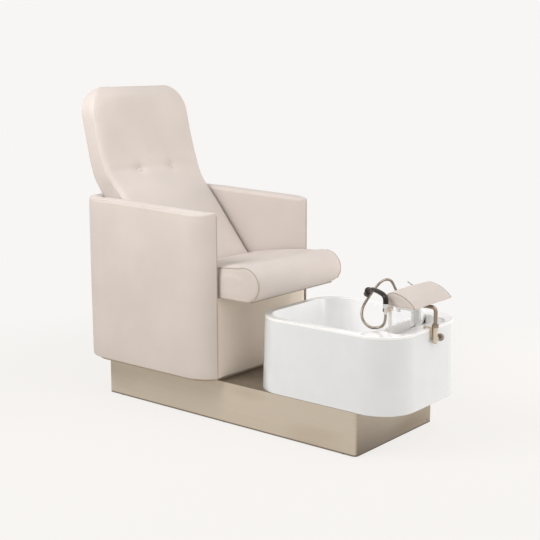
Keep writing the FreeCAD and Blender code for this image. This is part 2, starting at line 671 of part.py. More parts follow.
def board_shape():
    middle = S.body_thickness / 2
    offsets = (middle - S.board_gauge / 2, middle + S.board_gauge / 2)
    start = body_front + S.arm_nose_run * 0.55
    wire = body_outline(offsets, (start, start), S.body_bottom)
    return prism(wire, S.body_board_top - S.body_bottom)


def build_body():
    # The base board lies on the deck and carries the bent board, the apron and the padding.
    edge = (S.body_thickness - S.board_gauge) / 2
    turn = S.body_corner - edge
    nose = S.arm_nose_run - edge / 2
    front = body_front + S.apron_gap + S.apron_gauge / 2
    base = rounded_outline(edge - body_half, body_half - edge, front, S.body_rear - edge,
                           [nose, nose, turn, turn], S.plinth_top)
    keep(shaped("base_board_shape", prism(base, S.body_bottom - S.plinth_top)), "base_board")

    board = board_shape()
    keep(shaped("body_board_shape", board), "body_board")
    wire = body_outline((0, S.body_thickness), (body_front + S.arm_nose_run, body_front), S.body_bottom)
    block = prism(wire, S.arm_rear_top - S.body_bottom)
    # The arm tops fall a little from the rear to the front.
    drop = S.arm_rear_top - S.arm_front_top
    wedge = side_prism([(body_front - 5, S.arm_front_top), (S.arm_slope_end, S.arm_rear_top),
                        (S.arm_slope_end, S.arm_rear_top + drop + 5),
                        (body_front - 5, S.arm_rear_top + drop + 5)], -body_half - 5, body_half + 5)
    block = block.cut(wedge)
    top_edges = [edge for edge in block.Edges
                 if edge.BoundBox.ZMin > S.arm_front_top - 5 and edge.Length > 1]
    block = block.makeFillet(10, top_edges)
    keep(shaped("body_wrap_shape", block.cut(board)), "body_wrap")


def build_apron():
    body = new_body("apron_body")
    sketch = new_sketch(body, "apron_outline", "XY_Plane", "body_bottom")
    draw_rectangle(sketch, "-(body_width / 2 - body_thickness - apron_gap)",
                   "body_width / 2 - body_thickness - apron_gap", "body_rear - body_length + 2",
                   "body_rear - body_length + 2 + apron_gauge")
    slab = pad(body, "apron_slab", sketch, "seat_bottom - body_bottom")
    doc.recompute()
    edges = [f"Edge{index}" for index, edge in enumerate(slab.Shape.Edges, start=1)
             if abs(edge.CenterOfMass.y - body_front - 2) < 0.01
             and abs(abs(edge.CenterOfMass.x) - (body_inner - S.apron_gap)) < 0.01]
    rounding = body.newObject("PartDesign::Fillet", "apron_rounding")
    rounding.Base = (slab, edges)
    rounding.Radius = 6
    keep(body, "front_apron")


def build_battens():
    inner = "(body_width / 2 - body_thickness)"
    low = "seat_bottom - batten_height"
    start = "body_rear - body_length + apron_gauge + 2"
    length = f"body_rear - body_thickness - body_inner_corner - ({start})"
    left = box("batten_left", "batten_width", length, "batten_height", f"-{inner}", start, low)
    right = box("batten_right", "batten_width", length, "batten_height", f"{inner} - batten_width", start,
                low)
    rear = box("batten_rear", f"2 * {inner} - 2 * body_inner_corner",
               "body_rear - body_thickness - seat_board_rear + 20", "batten_height",
               f"-{inner} + body_inner_corner", "seat_board_rear - 20", low)
    keep(group("batten_group", left, right, rear), "seat_battens")
    keep(box("seat_board_box", f"2 * {SEAT_BOARD_HALF}", "seat_board_rear - seat_board_front", "board_gauge",
             f"-{SEAT_BOARD_HALF}", "seat_board_front", "seat_bottom"), "seat_board")


# Soft forms. A section is a closed ring of points joined by lines and arcs, and they are lofted.
def ring(pieces):
    edges = []
    for points in pieces:
        if len(points) == 2:
            edges.append(Part.LineSegment(*points).toShape())
        else:
            edges.append(Part.Arc(*points).toShape())
    return Part.Wire(edges)


def seat_section(x, sink):
    """Side view of the seat cushion at x, its top and nose drawn in by sink."""
    nose = S.seat_nose_radius - sink / 2
    base = S.seat_bottom
    turn_y = S.seat_nose + sink + nose
    middle_z = base + nose
    slant = nose * math.sqrt(0.5)
    crest = S.seat_crest - sink
    rear_top = S.seat_rear_top - sink
    at = lambda y, z: Vector(x, y, z)
    crest_mid_y = (S.seat_crest_y + S.seat_rear) / 2
    crest_mid_z = (crest + rear_top) / 2 + 9
    rise = crest - middle_z
    front_high = at(S.seat_nose + sink + nose * 0.36, middle_z + rise * 0.76)
    return ring([
        [at(turn_y, base), at(turn_y - slant, middle_z - slant), at(turn_y - nose, middle_z)],
        [at(turn_y - nose, middle_z), front_high, at(S.seat_crest_y, crest)],
        [at(S.seat_crest_y, crest), at(crest_mid_y, crest_mid_z), at(S.seat_rear, rear_top)],
        [at(S.seat_rear, rear_top), at(S.seat_rear, base)],
        [at(S.seat_rear, base), at(turn_y, base)],
    ])


def build_seat_cushion():
    ends = [(1, 15), (0.985, 8.5), (0.955, 4.6), (0.9, 2.4), (0.75, 1.1), (0.4, 0.3)]
    stations = [(-share, sink) for share, sink in ends] + [(0, 0)] + ends[::-1]
    loft = Part.makeLoft([seat_section(seat_half * share, sink) for share, sink in stations], True, True)
    board = Part.makeBox(2 * seat_board_half, S.seat_rear - S.seat_board_front + 10, S.board_gauge,
                         Vector(-seat_board_half, S.seat_board_front, S.seat_bottom))
    keep(shaped("seat_cushion_shape", loft.cut(board)), "seat_cushion")


# Back cushion stations up the spine: front face (y, z), thickness, half width as a share of full,
# whether the full width is the head's, and how far the crown stands out in the middle.
BACK_FRONT = [(256, 511), (333, 603), (410, 695), (480, 780), (536, 843), (577, 885), (606, 930),
              (628, 980), (650, 1060), (668, 1140)]
BACK_LEAN = [39.8, 39.8, 39.8, 40.5, 41.5, 38, 29, 21.5, 13.5, 12]
BACK_THICK = [98, 101, 104, 106, 106, 104, 98, 92, 87, 86]
BACK_HALF_SHARE = [0, 0, 0, 0, 0, 0.15, 0.75, 1, 1, 1]


def back_section(front, lean, thickness, half, crown, corner):
    """A cushion section square to the spine; lean is the tilt from upright in degrees."""
    y, z = front
    tilt = math.radians(lean)
    into = Vector(0, math.cos(tilt), -math.sin(tilt))
    origin = Vector(0, y, z)
    at = lambda x, depth: origin + Vector(x, 0, 0) + into * depth
    turn = corner * (1 - math.sqrt(0.5))
    return ring([
        [at(-half + corner, crown), at(0, 0), at(half - corner, crown)],
        [at(half - corner, crown), at(half - turn, crown + turn), at(half, crown + corner)],
        [at(half, crown + corner), at(half, thickness - corner / 2)],
        [at(half, thickness - corner / 2), at(half - turn / 2, thickness - turn / 2),
         at(half - corner / 2, thickness)],
        [at(half - corner / 2, thickness), at(-half + corner / 2, thickness)],
        [at(-half + corner / 2, thickness), at(-half + turn / 2, thickness - turn / 2),
         at(-half, thickness - corner / 2)],
        [at(-half, thickness - corner / 2), at(-half, crown + corner)],
        [at(-half, crown + corner), at(-half + turn, crown + turn), at(-half + corner, crown)],
    ])


def back_stations():
    """Front point, lean, thickness, half width, crown and corner of each section, from low to high."""
    rows = []
    for point, lean, thick, share in zip(BACK_FRONT, BACK_LEAN, BACK_THICK, BACK_HALF_SHARE):
        half = back_half + share * S.back_head_spread
        rows.append((point, lean, thick, half, 7, 20))
    # Over the head the sides and both faces round in to the top edge.
    y, z = BACK_FRONT[-1]
    lean = BACK_LEAN[-1]
    tilt = math.radians(lean)
    reach = (S.back_top - z) / math.cos(tilt)
    for share, pinch in ((0.35, 1), (0.62, 4), (0.82, 11), (0.94, 21), (0.985, 30)):
        along = share * reach
        rise = max(0, along - (reach - S.back_head_corner))
        narrow = S.back_head_corner - math.sqrt(max(0, S.back_head_corner ** 2 - rise ** 2))
        point = (y + along * math.sin(tilt) + pinch, z + along * math.cos(tilt))
        thick = BACK_THICK[-1] - 1.7 * pinch
        rows.append((point, lean, thick, back_half + S.back_head_spread - narrow * 0.86,
                     7 - min(6, pinch / 5), min(20, thick * 0.3)))
    return rows


def back_rear_line(depth):
    """Points (y, z) on the cushion's rear side, at a depth from its front."""
    line = []
    for (y, z), lean, thick in zip(BACK_FRONT, BACK_LEAN, BACK_THICK):
        tilt = math.radians(lean)
        line.append((y + (thick - depth) * math.cos(tilt), z - (thick - depth) * math.sin(tilt)))
    return line


def back_board_shape():
    rear = back_rear_line(S.back_board_inset)
    front = back_rear_line(S.back_board_inset + S.back_board_gauge)
    board = side_prism(rear + front[::-1], S.back_board_side - back_half, back_half - S.back_board_side)
    return board.cut(below_seat())


def below_seat():
    """What the back may not enter: the seat board with all below it, and the seat cushion."""
    wide = 2 * body_half
    floor = Part.makeBox(wide, 900, 400, Vector(-body_half, S.seat_nose,
                                                S.seat_bottom + S.board_gauge + S.rest_clear - 400))
    seat = Part.makeBox(wide, 400, 400, Vector(-body_half, S.seat_rear + S.rest_clear - 400, S.seat_bottom))
    return floor.fuse(seat)


def build_back():
    cushion = Part.makeLoft([back_section(*row) for row in back_stations()], True, False)
    cushion = cushion.cut(below_seat())
    board = back_board_shape()
    keep(shaped("back_board_shape", board), "back_board")
    # Each sewn button sits in a shallow dimple of the front face.
    buttons = []
    for side in (-1, 1):
        centre = Vector(side * S.button_x, 607, S.button_z)
        out = Vector(0, -math.cos(math.radians(29)), math.sin(math.radians(29)))
        cushion = cushion.cut(Part.makeSphere(44, centre + out * 36))
        disc = Part.makeSphere(S.button_radius, centre - out * 2)
        flat = Part.makeCylinder(S.button_radius, 60, centre - out * 8.3, out)
        button = disc.common(flat)
        hole = Part.makeCylinder(S.button_radius, 30, centre - out * 8.3, out)
        cushion = cushion.cut(hole)
        buttons.append(button)
    brackets = back_bracket_shapes()
    keep(shaped("back_bracket_shapes", Part.makeCompound(brackets)), "back_brackets")
    keep(shaped("back_cushion_shape", cushion.cut([board] + brackets)), "back_cushion")
    keep(shaped("button_shapes", Part.makeCompound(buttons)), "back_buttons")


def back_bracket_shapes():
    """Two steel gussets between the body's rear wall and the back board."""
    wall_y = S.body_rear - S.body_thickness
    gauge = S.bracket_gauge
    rear = back_rear_line(S.back_board_inset)
    (y_low, z_low), (y_high, z_high) = rear[2], rear[3]
    slope = (y_high - y_low) / (z_high - z_low)
    board_at = lambda z: y_low + (z - z_low) * slope
    low_z = z_low + 12
    high_z = z_high - 6
    solids = []
    for x in (-S.bracket_x, S.bracket_x):
        web = side_prism([(wall_y, low_z), (wall_y, high_z), (board_at(high_z), high_z),
                          (board_at(low_z), low_z)], x - gauge / 2, x + gauge / 2)
        foot = side_prism([(wall_y - gauge, low_z), (wall_y, low_z), (wall_y, high_z),
                           (wall_y - gauge, high_z)], x - S.bracket_width / 2, x + S.bracket_width / 2)
        head = side_prism([(board_at(low_z), low_z), (board_at(high_z), high_z),
                           (board_at(high_z) + gauge, high_z), (board_at(low_z) + gauge, low_z)],
                          x - S.bracket_width / 2, x + S.bracket_width / 2)
        solids.append(web.fuse([foot, head]).removeSplitter())
    return solids


# Footrest: cushion, plate, bent bar, collar and the clamp on the footbath's rim.
def footrest_section(x, sink):
    base = footrest_bottom
    peak = base + S.footrest_crown - sink
    front = S.footrest_front + sink
    rear = S.footrest_rear - sink
    at = lambda y, z: Vector(x, y, z)
    lift = (peak - base) * 0.45
    return ring([
        [at(front, base), at(front + 1, base + 5 - sink / 4)],
        [at(front + 1, base + 5 - sink / 4),
         at((front + S.footrest_peak_y) / 2 - 3, base + 0.72 * (peak - base)),
         at(S.footrest_peak_y, peak)],
        [at(S.footrest_peak_y, peak), at((rear + S.footrest_peak_y) / 2 + 10, peak - 7.5),
         at(rear, base + lift)],
        [at(rear, base + lift), at(rear - 4, base)],
        [at(rear - 4, base), at(front, base)],
    ])


def build_footrest():
    half = S.footrest_half
    ends = [(1, 8), (0.975, 5.4), (0.93, 3.8), (0.8, 2.2), (0.4, 0.6)]
    stations = [(-share, sink) for share, sink in ends] + [(0, 0)] + ends[::-1]
    loft = Part.makeLoft([footrest_section(half * share, sink) for share, sink in stations], True, True)
    keep(shaped("footrest_cushion_shape", loft), "footrest_cushion")

    body = new_body("footrest_plate_body")
    sketch = new_sketch(body, "footrest_plate_outline", "XY_Plane",
                        f"{FOOTREST_BOTTOM} - footrest_plate_gauge")
    middle = "(footrest_front + footrest_rear) / 2"
    draw_rectangle(sketch, "-footrest_plate_half", "footrest_plate_half", f"{middle} - 30", f"{middle} + 36")
    pad(body, "footrest_plate_pad", sketch, "footrest_plate_gauge")
    doc.recompute()
    keep(body, "footrest_plate")

    screws = []
    for ix, x in enumerate(("-footrest_plate_half + 12", "footrest_plate_half - 12")):
        for iy, y in enumerate((f"{middle} - 20", f"{middle} + 26")):
            screws.append(cylinder(f"plate_screw_{ix}_{iy}", "bolt_head_radius", 3, x, y,
                                   f"{FOOTREST_BOTTOM} - footrest_plate_gauge - 3"))
    keep(group("plate_screw_group", *screws), "plate_screws")


def build_bar():
    level = footrest_bottom - S.footrest_plate_gauge - S.bar_radius
    bend = S.bar_bend
    slant = bend * (1 - math.sqrt(0.5))
    foot = Vector(0, bar_y, S.tub_top - S.bar_drop)
    start = Vector(0, bar_y, level - bend)
    middle = Vector(0, bar_y + slant, level - slant)
    end = Vector(0, bar_y + bend, level)
    tip = Vector(0, bar_y + S.bar_reach, level)
    route = Part.Wire([Part.LineSegment(foot, start).toShape(), Part.Arc(start, middle, end).toShape(),
                       Part.LineSegment(end, tip).toShape()])
    keep(shaped("bar_shape", tube_along(route, S.bar_radius)), "footrest_bar")

    collar = cylinder("collar_ring", "collar_radius", "collar_height", 0, f"{TUB_FRONT} - bar_forward",
                      "tub_top + hook_gauge + rest_clear")
    hole = cylinder("collar_bore", "bar_radius + run_clear", "collar_height", 0,
                    f"{TUB_FRONT} - bar_forward", "tub_top + hook_gauge + rest_clear")
    keep(cut("collar_cut", collar, hole), "bar_collar")


def build_clamp():
    # A plate hangs on the rim by a narrow hook and carries a sleeve that the bar stands in.
    axis_y = f"{TUB_FRONT} - bar_forward"
    back = f"{TUB_FRONT} - clamp_skin"
    plate = box("clamp_plate", "clamp_left + clamp_right", "plate_back", "plate_drop + hook_gauge",
                "-clamp_left", f"{back} - plate_back", "tub_top - plate_drop")
    doc.recompute()
    plate_low = S.tub_top - S.plate_drop
    plate = edge_fillet("clamp_plate_round", plate, 5,
                        lambda edge: abs(edge.Length - S.plate_back) < 0.01 and edge.CenterOfMass.x > 0
                        and abs(edge.CenterOfMass.z - plate_low) < 0.01)
    sleeve = cylinder("clamp_sleeve", "bar_radius + sleeve_wall", "clamp_drop + hook_gauge", 0, axis_y,
                      CLAMP_BOTTOM)
    doc.recompute()
    clamp_bottom = S.tub_top - S.clamp_drop
    sleeve = edge_fillet("clamp_sleeve_round", sleeve, S.sleeve_bend,
                         lambda edge: edge.Length > 20 and abs(edge.CenterOfMass.z - clamp_bottom) < 0.01)
    boss = cylinder("clamp_boss", "boss_radius", "boss_reach", 0, axis_y, KNOB_LEVEL, ALONG_X)
    hook = box("clamp_hook", "hook_width", "clamp_skin + plate_back + hook_reach", "hook_gauge",
               "-hook_width / 2", f"{back} - plate_back", "tub_top")
    lip = box("clamp_lip", "hook_width", "hook_gauge", "trough_depth - hook_pad_gauge", "-hook_width / 2",
              f"{TUB_FRONT} + hook_reach - hook_gauge", "tub_top - trough_depth + hook_pad_gauge")
    bar_hole = cylinder("clamp_bar_hole", "bar_radius + run_clear", 200, 0, axis_y, f"{CLAMP_BOTTOM} - 50")
    screw_hole = cylinder("clamp_screw_hole", "clamp_screw_radius + run_clear", 60, "bar_radius - 2",
                          axis_y, KNOB_LEVEL, ALONG_X)
    bolt_holes = [cylinder(f"clamp_bolt_hole_{index}", "bolt_radius", 80, BOLT_X, f"{back} - 40", z, ALONG_Y)
                  for index, z in enumerate(BOLT_Z)]
    solid = fuse("clamp_solid", plate, sleeve, boss, hook, lip)
    keep(cut("clamp_cut", solid, bar_hole, screw_hole, *bolt_holes), "clamp_bracket")
    keep(box("hook_pad_box", "hook_width", "hook_gauge + 6", "hook_pad_gauge", "-hook_width / 2",
             f"{TUB_FRONT} + hook_reach - hook_gauge - 3", "tub_top - trough_depth"), "hook_pad")
    bolts = []
    for index, z in enumerate(BOLT_Z):
        head = cylinder(f"clamp_bolt_head_{index}", "bolt_head_radius", "bolt_head_height", BOLT_X,
                        f"{back} - plate_back - bolt_head_height", z, ALONG_Y)
        shank = cylinder(f"clamp_bolt_shank_{index}", "bolt_radius", "plate_back", BOLT_X,
                         f"{back} - plate_back", z, ALONG_Y)
        bolts.append(fuse(f"clamp_bolt_{index}", head, shank))
    keep(group("clamp_bolt_group", *bolts), "clamp_bolts")

    screw = cylinder("knob_screw", "clamp_screw_radius", "clamp_right + knob_gap - bar_radius - rest_clear",
                     "bar_radius + rest_clear", axis_y, KNOB_LEVEL, ALONG_X)
    keep(screw, "clamp_screw")
    disc = cylinder("knob_disc", "knob_radius", "knob_gauge", "clamp_right + knob_gap", axis_y, KNOB_LEVEL,
                    ALONG_X)
    knob = edge_fillet("knob_round", disc, 2, lambda edge: edge.Length > 50)
    keep(knob, "clamp_knob")


BOLT_X = "clamp_right - 9"
BOLT_Z = (f"{KNOB_LEVEL} + 28",)


# Mixer tap behind the notch, with its lever, spout, hose outlet and supplies.
def build_mixer():
    base = "tub_top - trough_depth"
    x = "mixer_x"
    y = "mixer_y"
    flange = cylinder("mixer_flange_disc", "mixer_flange", 4, x, y, base)
    column = cylinder("mixer_column", "mixer_radius", "mixer_height", x, y, base)
    boss = cylinder("mixer_boss", "shower_radius + 3.5", "mixer_x - outlet_x", x, y,
                    "tub_top + outlet_rise", ALONG_MINUS_X)
    shank = cylinder("mixer_shank", "shank_radius", "shank_length", x, y, f"{base} - shank_length")
    groove = cut("mixer_groove_ring",
                 cylinder("mixer_groove_outside", "mixer_radius + 5", "2 * spout_radius + 6", x, y,
                          f"{SPOUT_LEVEL} - spout_radius - 3"),
                 cylinder("mixer_groove_inside", "mixer_radius - 4", "2 * spout_radius + 6", x, y,
                          f"{SPOUT_LEVEL} - spout_radius - 3"))
    keep(cut("mixer_cut", fuse("mixer_solid", flange, column, boss, shank), groove), "mixer_body")

    ring_low = f"{SPOUT_LEVEL} - spout_radius - 3 + rest_clear"
    ring_height = "2 * spout_radius + 6 - 2 * rest_clear"
    ring_out = cylinder("spout_ring", "mixer_radius + 1.5", ring_height, x, y, ring_low)
    arm = cylinder("spout_arm", "spout_radius", "spout_reach", x, y, SPOUT_LEVEL, ALONG_Y)
    mouth = cylinder("spout_mouth", "spout_radius - 1", "spout_radius + 9", x,
                     f"{y} + spout_reach - spout_radius", f"{SPOUT_LEVEL} - spout_radius - 9")
    hole = cylinder("spout_bore", "mixer_radius - 4 + run_clear", ring_height, x, y, ring_low)
    channel = cylinder("spout_channel", "spout_radius - 3", "spout_radius + 11", x,
                       f"{y} + spout_reach - spout_radius", f"{SPOUT_LEVEL} - spout_radius - 11")
    keep(cut("spout_cut", fuse("spout_solid", ring_out, arm, mouth), hole, channel), "mixer_spout")

    top = f"({base}) + mixer_height"
    hub = cylinder("mixer_hub", "mixer_radius - 5", "cartridge_height", x, y, f"{top} + rest_clear")
    keep(hub, "mixer_cartridge")
    cap_low = f"{top} + cartridge_height + 2 * rest_clear"
    cap = cylinder("lever_cap", "mixer_radius", "lever_cap", x, y, cap_low)
    cap_middle = S.tub_top - S.trough_depth + S.mixer_height + S.cartridge_height + S.lever_cap / 2
    cap_round = edge_fillet("lever_cap_round", cap, 4, lambda edge: edge.CenterOfMass.z > cap_middle)
    aim = math.radians(LEVER_TURN)
    rise = math.radians(LEVER_RISE)
    heading = Vector(math.cos(aim) * math.cos(rise), math.sin(aim) * math.cos(rise), math.sin(rise))
    rod = cylinder("lever_rod", "lever_radius", "lever_reach", x, y, f"{cap_low} + lever_cap / 2",
                   Rotation(Vector(0, 0, 1), heading))
    doc.recompute()
    tip = edge_fillet("lever_rod_round", rod, S.lever_radius - 0.6,
                      lambda edge: edge.Length > 10 and edge.CenterOfMass.z > rod.Placement.Base.z + 5)
    keep(fuse("lever_solid", cap_round, tip), "mixer_lever")

    plate = cylinder("mixer_washer_disc", "mixer_flange - 1", 3, x, y, f"{base} - rim_gauge - 3")
    plate_hole = cylinder("mixer_washer_hole", "shank_radius", 3, x, y, f"{base} - rim_gauge - 3")
    nut = bind(doc.addObject("Part::Prism", "mixer_nut_hex"), Circumradius="mixer_flange", Height=12)
    nut.Polygon = 6
    place(nut, x, y, f"{base} - rim_gauge - 15")
    nut_hole = cylinder("mixer_nut_hole", "shank_radius", 12, x, y, f"{base} - rim_gauge - 15")
    keep(group("mixer_nut_group", cut("mixer_washer_cut", plate, plate_hole),
               cut("mixer_nut_cut", nut, nut_hole)), "mixer_nut")


LEVER_TURN = 128
LEVER_RISE = 36


def build_supplies():
    """Two supply hoses from the rear nipples, along the base and up to the mixer's shank."""
    end_y = plinth_rear - S.nipple_tail
    low = S.supply_level
    shank_foot = trough_floor - S.shank_length
    hoses = []
    nipples = []
    for side in (-1, 1):
        x_in = S.mixer_x + S.supply_spread * side
        x_up = S.mixer_x + 8 * side
        rise = S.plinth_top - low + S.supply_back
        points = [(x_in, end_y, low), (x_in, end_y - 140, low), (x_in - 12 * side, 60, low),
                  (x_up, -300, low), (x_up, S.mixer_y + rise, low), (x_up, S.mixer_y, low + rise),
                  (x_up, S.mixer_y, shank_foot)]
        route, radii = rounded_route(points)
        hoses.append(tube_along(route, S.supply_radius))
        print("supply hose radii", [round(radius) for radius in radii])
        back = Vector(0, 1, 0)
        neck = Part.makeCylinder(S.nipple_neck, plinth_rear - end_y + S.spigot_gap,
                                 Vector(x_in, end_y, low), back)
        end = Part.makeCylinder(S.nipple_radius, S.nipple_reach - S.spigot_gap,
                                Vector(x_in, plinth_rear + S.spigot_gap, low), back)
        nipples.append(neck.fuse(end))
    keep(shaped("supply_hose_shapes", Part.makeCompound(hoses)), "supply_hoses")
    keep(shaped("nipple_shapes", Part.makeCompound(nipples)), "inlet_nipples")


# Hand shower: post and cradle on the trough floor, cone, tail, handle, head, face and hose.
HOSE_ROUTE = [(98, -590, 492), (57, -590, 492), (36, -571, 528), (24, -562, 566), (8, -554, 596),
              (-17, -534, 594), (-36, -513, 560), (-62, -504, 530), (-95, -509, 513), (-126, -521, 496),
              (-146, -538, 470), (-147, -568, 449), (-148, -604, 452), (-154, -640, 472), (-154, -640, 508)]
# The handle's points past its foot, each from the cone's upper end.
HANDLE_ROUTE = [(0, 0, 26), (26, 48, 30), (54, 90, 30), (78, 124, 15)]
FACE_AIM = (0.35, 0.6, -0.72)


def build_shower():
    post = cylinder("post_column", "post_radius", "post_rise + trough_depth", "post_x", "post_y",
                    "tub_top - trough_depth")
    foot = cylinder("post_foot", "post_radius + 7", 4, "post_x", "post_y", "tub_top - trough_depth")
    keep(fuse("post_solid", post, foot), "holder_post")

    low = CRADLE_LEVEL
    high = "cradle_height"
    ring_out = cylinder("cradle_ring", "cradle_radius", high, "cone_x", "cone_y", low)
    arm = box("cradle_arm", "post_x - cone_x", 10, high, "cone_x", "cone_y - 5", low)
    grip = cylinder("cradle_grip", "post_radius + 3", high, "post_x", "post_y", low)
    cone_hole = cone("cradle_cone_hole", "cone_foot_radius + rest_clear", "cone_top_radius + rest_clear",
                     "cone_height", "cone_x", "cone_y", f"{FERRULE_LEVEL} + ferrule_height")
    post_hole = cylinder("cradle_post_hole", "post_radius", high, "post_x", "post_y", low)
    ferrule_hole = cylinder("cradle_ferrule_hole", "ferrule_radius + rest_clear", high, "cone_x",
                            "cone_y", low)
    slot = box("cradle_slot", 24, "2 * shower_radius + 3", high, "cone_x - 24",
               "cone_y - shower_radius - 1.5", low)
    keep(cut("cradle_cut", fuse("cradle_solid", ring_out, arm, grip), cone_hole, post_hole,
             ferrule_hole, slot),
         "holder_cradle")

    ferrule = cylinder("hose_ferrule", "ferrule_radius", "ferrule_height", "cone_x", "cone_y",
                       FERRULE_LEVEL)
    taper = cone("hose_taper", "cone_foot_radius", "cone_top_radius", "cone_height", "cone_x", "cone_y",
                 f"{FERRULE_LEVEL} + ferrule_height")
    keep(fuse("cone_nut_solid", ferrule, taper), "hose_cone_nut")

    # The handle rises from the cone, arches over and ends in the head, whose face looks down.
    foot = Vector(S.cone_x, S.cone_y, ferrule_level + S.ferrule_height + S.cone_height)
    points = [foot] + [foot + Vector(*step) for step in HANDLE_ROUTE]
    head_at = points[-1]
    handle = tube_along(rounded_route(points)[0], S.handle_radius)
    handset = handle.fuse(Part.makeSphere(S.head_radius, head_at))
    keep(shaped("handset_shape", handset), "handset_body")
    down = Vector(*FACE_AIM).normalize()
    face = Part.makeCone(S.head_radius - 6, S.head_radius - 3, 7,
                         head_at + down * (S.head_radius - 1.5), down)
    keep(shaped("spray_face_shape", face.cut(handset)), "spray_face")

    hose, radii = rounded_route(HOSE_ROUTE)
    print("shower hose length", round(hose.Length), "radii", [round(radius) for radius in radii])
    keep(shaped("shower_hose_shape", tube_along(hose, S.shower_radius)), "shower_hose")


build_frame()
build_feet()
build_skirts()
build_skirt_screws()
build_deck()
build_tub_shell()
build_basin()
build_tub_pads()
build_drain()
build_waste_pipe()
build_body()
build_apron()
build_battens()
build_seat_cushion()
build_back()
build_footrest()
build_bar()
build_clamp()
build_mixer()
build_supplies()
build_shower()
doc.recompute()

faults = [obj.Label for obj in doc.Objects if "Invalid" in obj.State or "Error" in obj.State]
for obj in subparts:
    if obj.Shape.isNull() or not obj.Shape.isValid() or not obj.Shape.Solids:
        faults.append(obj.Label + " has no valid solid")
if faults:
    raise RuntimeError("not built: " + ", ".join(faults))

os.makedirs("parts", exist_ok=True)
whole = FreeCAD.BoundBox()
for obj in subparts:
    obj.Shape.exportStep(f"parts/{obj.Label}.step")
    whole.add(obj.Shape.BoundBox)
print(len(subparts), "nodes;", "box", [round(value, 2) for value in
      (whole.XMin, whole.YMin, whole.ZMin, whole.XMax, whole.YMax, whole.ZMax)])
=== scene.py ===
import math

import bmesh
import bpy
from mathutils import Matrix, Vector
from mathutils.bvhtree import BVHTree


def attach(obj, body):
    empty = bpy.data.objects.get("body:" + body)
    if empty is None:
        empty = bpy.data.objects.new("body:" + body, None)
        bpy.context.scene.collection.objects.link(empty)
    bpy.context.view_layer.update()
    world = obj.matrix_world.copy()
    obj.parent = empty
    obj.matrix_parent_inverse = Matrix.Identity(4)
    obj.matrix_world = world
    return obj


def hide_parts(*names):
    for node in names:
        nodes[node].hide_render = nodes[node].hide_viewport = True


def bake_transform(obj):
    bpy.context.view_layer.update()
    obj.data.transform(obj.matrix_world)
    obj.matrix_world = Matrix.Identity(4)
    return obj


# Pedicure spa chair. Metres, +Z up, the footbath towards -Y, the sitter's right hand on -X.
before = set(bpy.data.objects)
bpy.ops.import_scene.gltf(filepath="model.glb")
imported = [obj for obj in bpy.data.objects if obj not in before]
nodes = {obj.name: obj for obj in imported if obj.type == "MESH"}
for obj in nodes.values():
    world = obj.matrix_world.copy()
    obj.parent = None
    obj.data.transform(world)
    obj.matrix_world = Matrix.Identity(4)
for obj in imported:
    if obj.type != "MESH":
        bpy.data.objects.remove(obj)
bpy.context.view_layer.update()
print("frame loaded:", len(nodes), "nodes")


def link(obj):
    bpy.context.scene.collection.objects.link(obj)
    return obj


# the camera stands where the photograph was taken
cameraLook = {"lens": 73.85, "sensor": 36, "azimuth": -51.0767, "pitch": 10.888,
              "place": (-3.3044, -2.6711, 1.3809)}


def makeCamera():
    a = cameraLook
    data = bpy.data.cameras.new("photoCamera")
    data.lens = a["lens"]
    data.sensor_width = a["sensor"]
    data.clip_end = 200
    camera = link(bpy.data.objects.new("photoCamera", data))
    yaw, pitch = math.radians(a["azimuth"]), math.radians(a["pitch"])
    forward = Vector((-math.sin(yaw) * math.cos(pitch), math.cos(yaw) * math.cos(pitch), -math.sin(pitch)))
    camera.location = a["place"]
    camera.rotation_euler = forward.to_track_quat("-Z", "Y").to_euler()
    bpy.context.scene.camera = camera


makeCamera()


def fromPydata(name, points, faces, edges=()):
    mesh = bpy.data.meshes.new(name)
    mesh.from_pydata([tuple(p) for p in points], list(edges), faces)
    mesh.update()
    return link(bpy.data.objects.new(name, mesh))


def smoothShade(obj, angle=None):
    for polygon in obj.data.polygons:
        polygon.use_smooth = True
    if angle:
        obj.data.set_sharp_from_angle(angle=math.radians(angle))
    return obj


def giveMaterial(obj, material):
    obj.data.materials.clear()
    obj.data.materials.append(material)
    return obj


def settle(obj, body, node=None, finish=None):
    # puts a finished piece on its body, with its finish, and hides the node it stands for
    if finish:
        giveMaterial(obj, materials[finish])
    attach(obj, body)
    if node:
        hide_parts(node)
    return obj


def evaluatedMesh(obj):
    bpy.context.view_layer.update()
    return bpy.data.meshes.new_from_object(obj.evaluated_get(bpy.context.evaluated_depsgraph_get()))


def applyModifiers(obj):
    mesh = evaluatedMesh(obj)
    obj.modifiers.clear()
    obj.data = mesh
    return obj


def fixNormals(obj):
    work = bmesh.new()
    work.from_mesh(obj.data)
    bmesh.ops.remove_doubles(work, verts=work.verts, dist=1e-6)
    bmesh.ops.recalc_face_normals(work, faces=work.faces)
    work.to_mesh(obj.data)
    work.free()
    return obj


def arcPoints(a, b, c, count):
    # points along the circle through three points, both ends included
    a, b, c = Vector(a), Vector(b), Vector(c)
    u, v = b - a, c - a
    normal = u.cross(v)
    if normal.length < 1e-12:
        return [a.lerp(c, i / count) for i in range(count + 1)]
    reach = normal.cross(u) * v.length_squared + v.cross(normal) * u.length_squared
    centre = a + reach / (2 * normal.length_squared)
    x = a - centre
    y = normal.normalized().cross(x)
    end = c - centre
    turn = math.atan2(end.dot(y) / x.length, end.dot(x) / x.length) % (2 * math.pi)
    angles = [turn * i / count for i in range(count + 1)]
    return [centre + x * math.cos(angle) + y * math.sin(angle) for angle in angles]


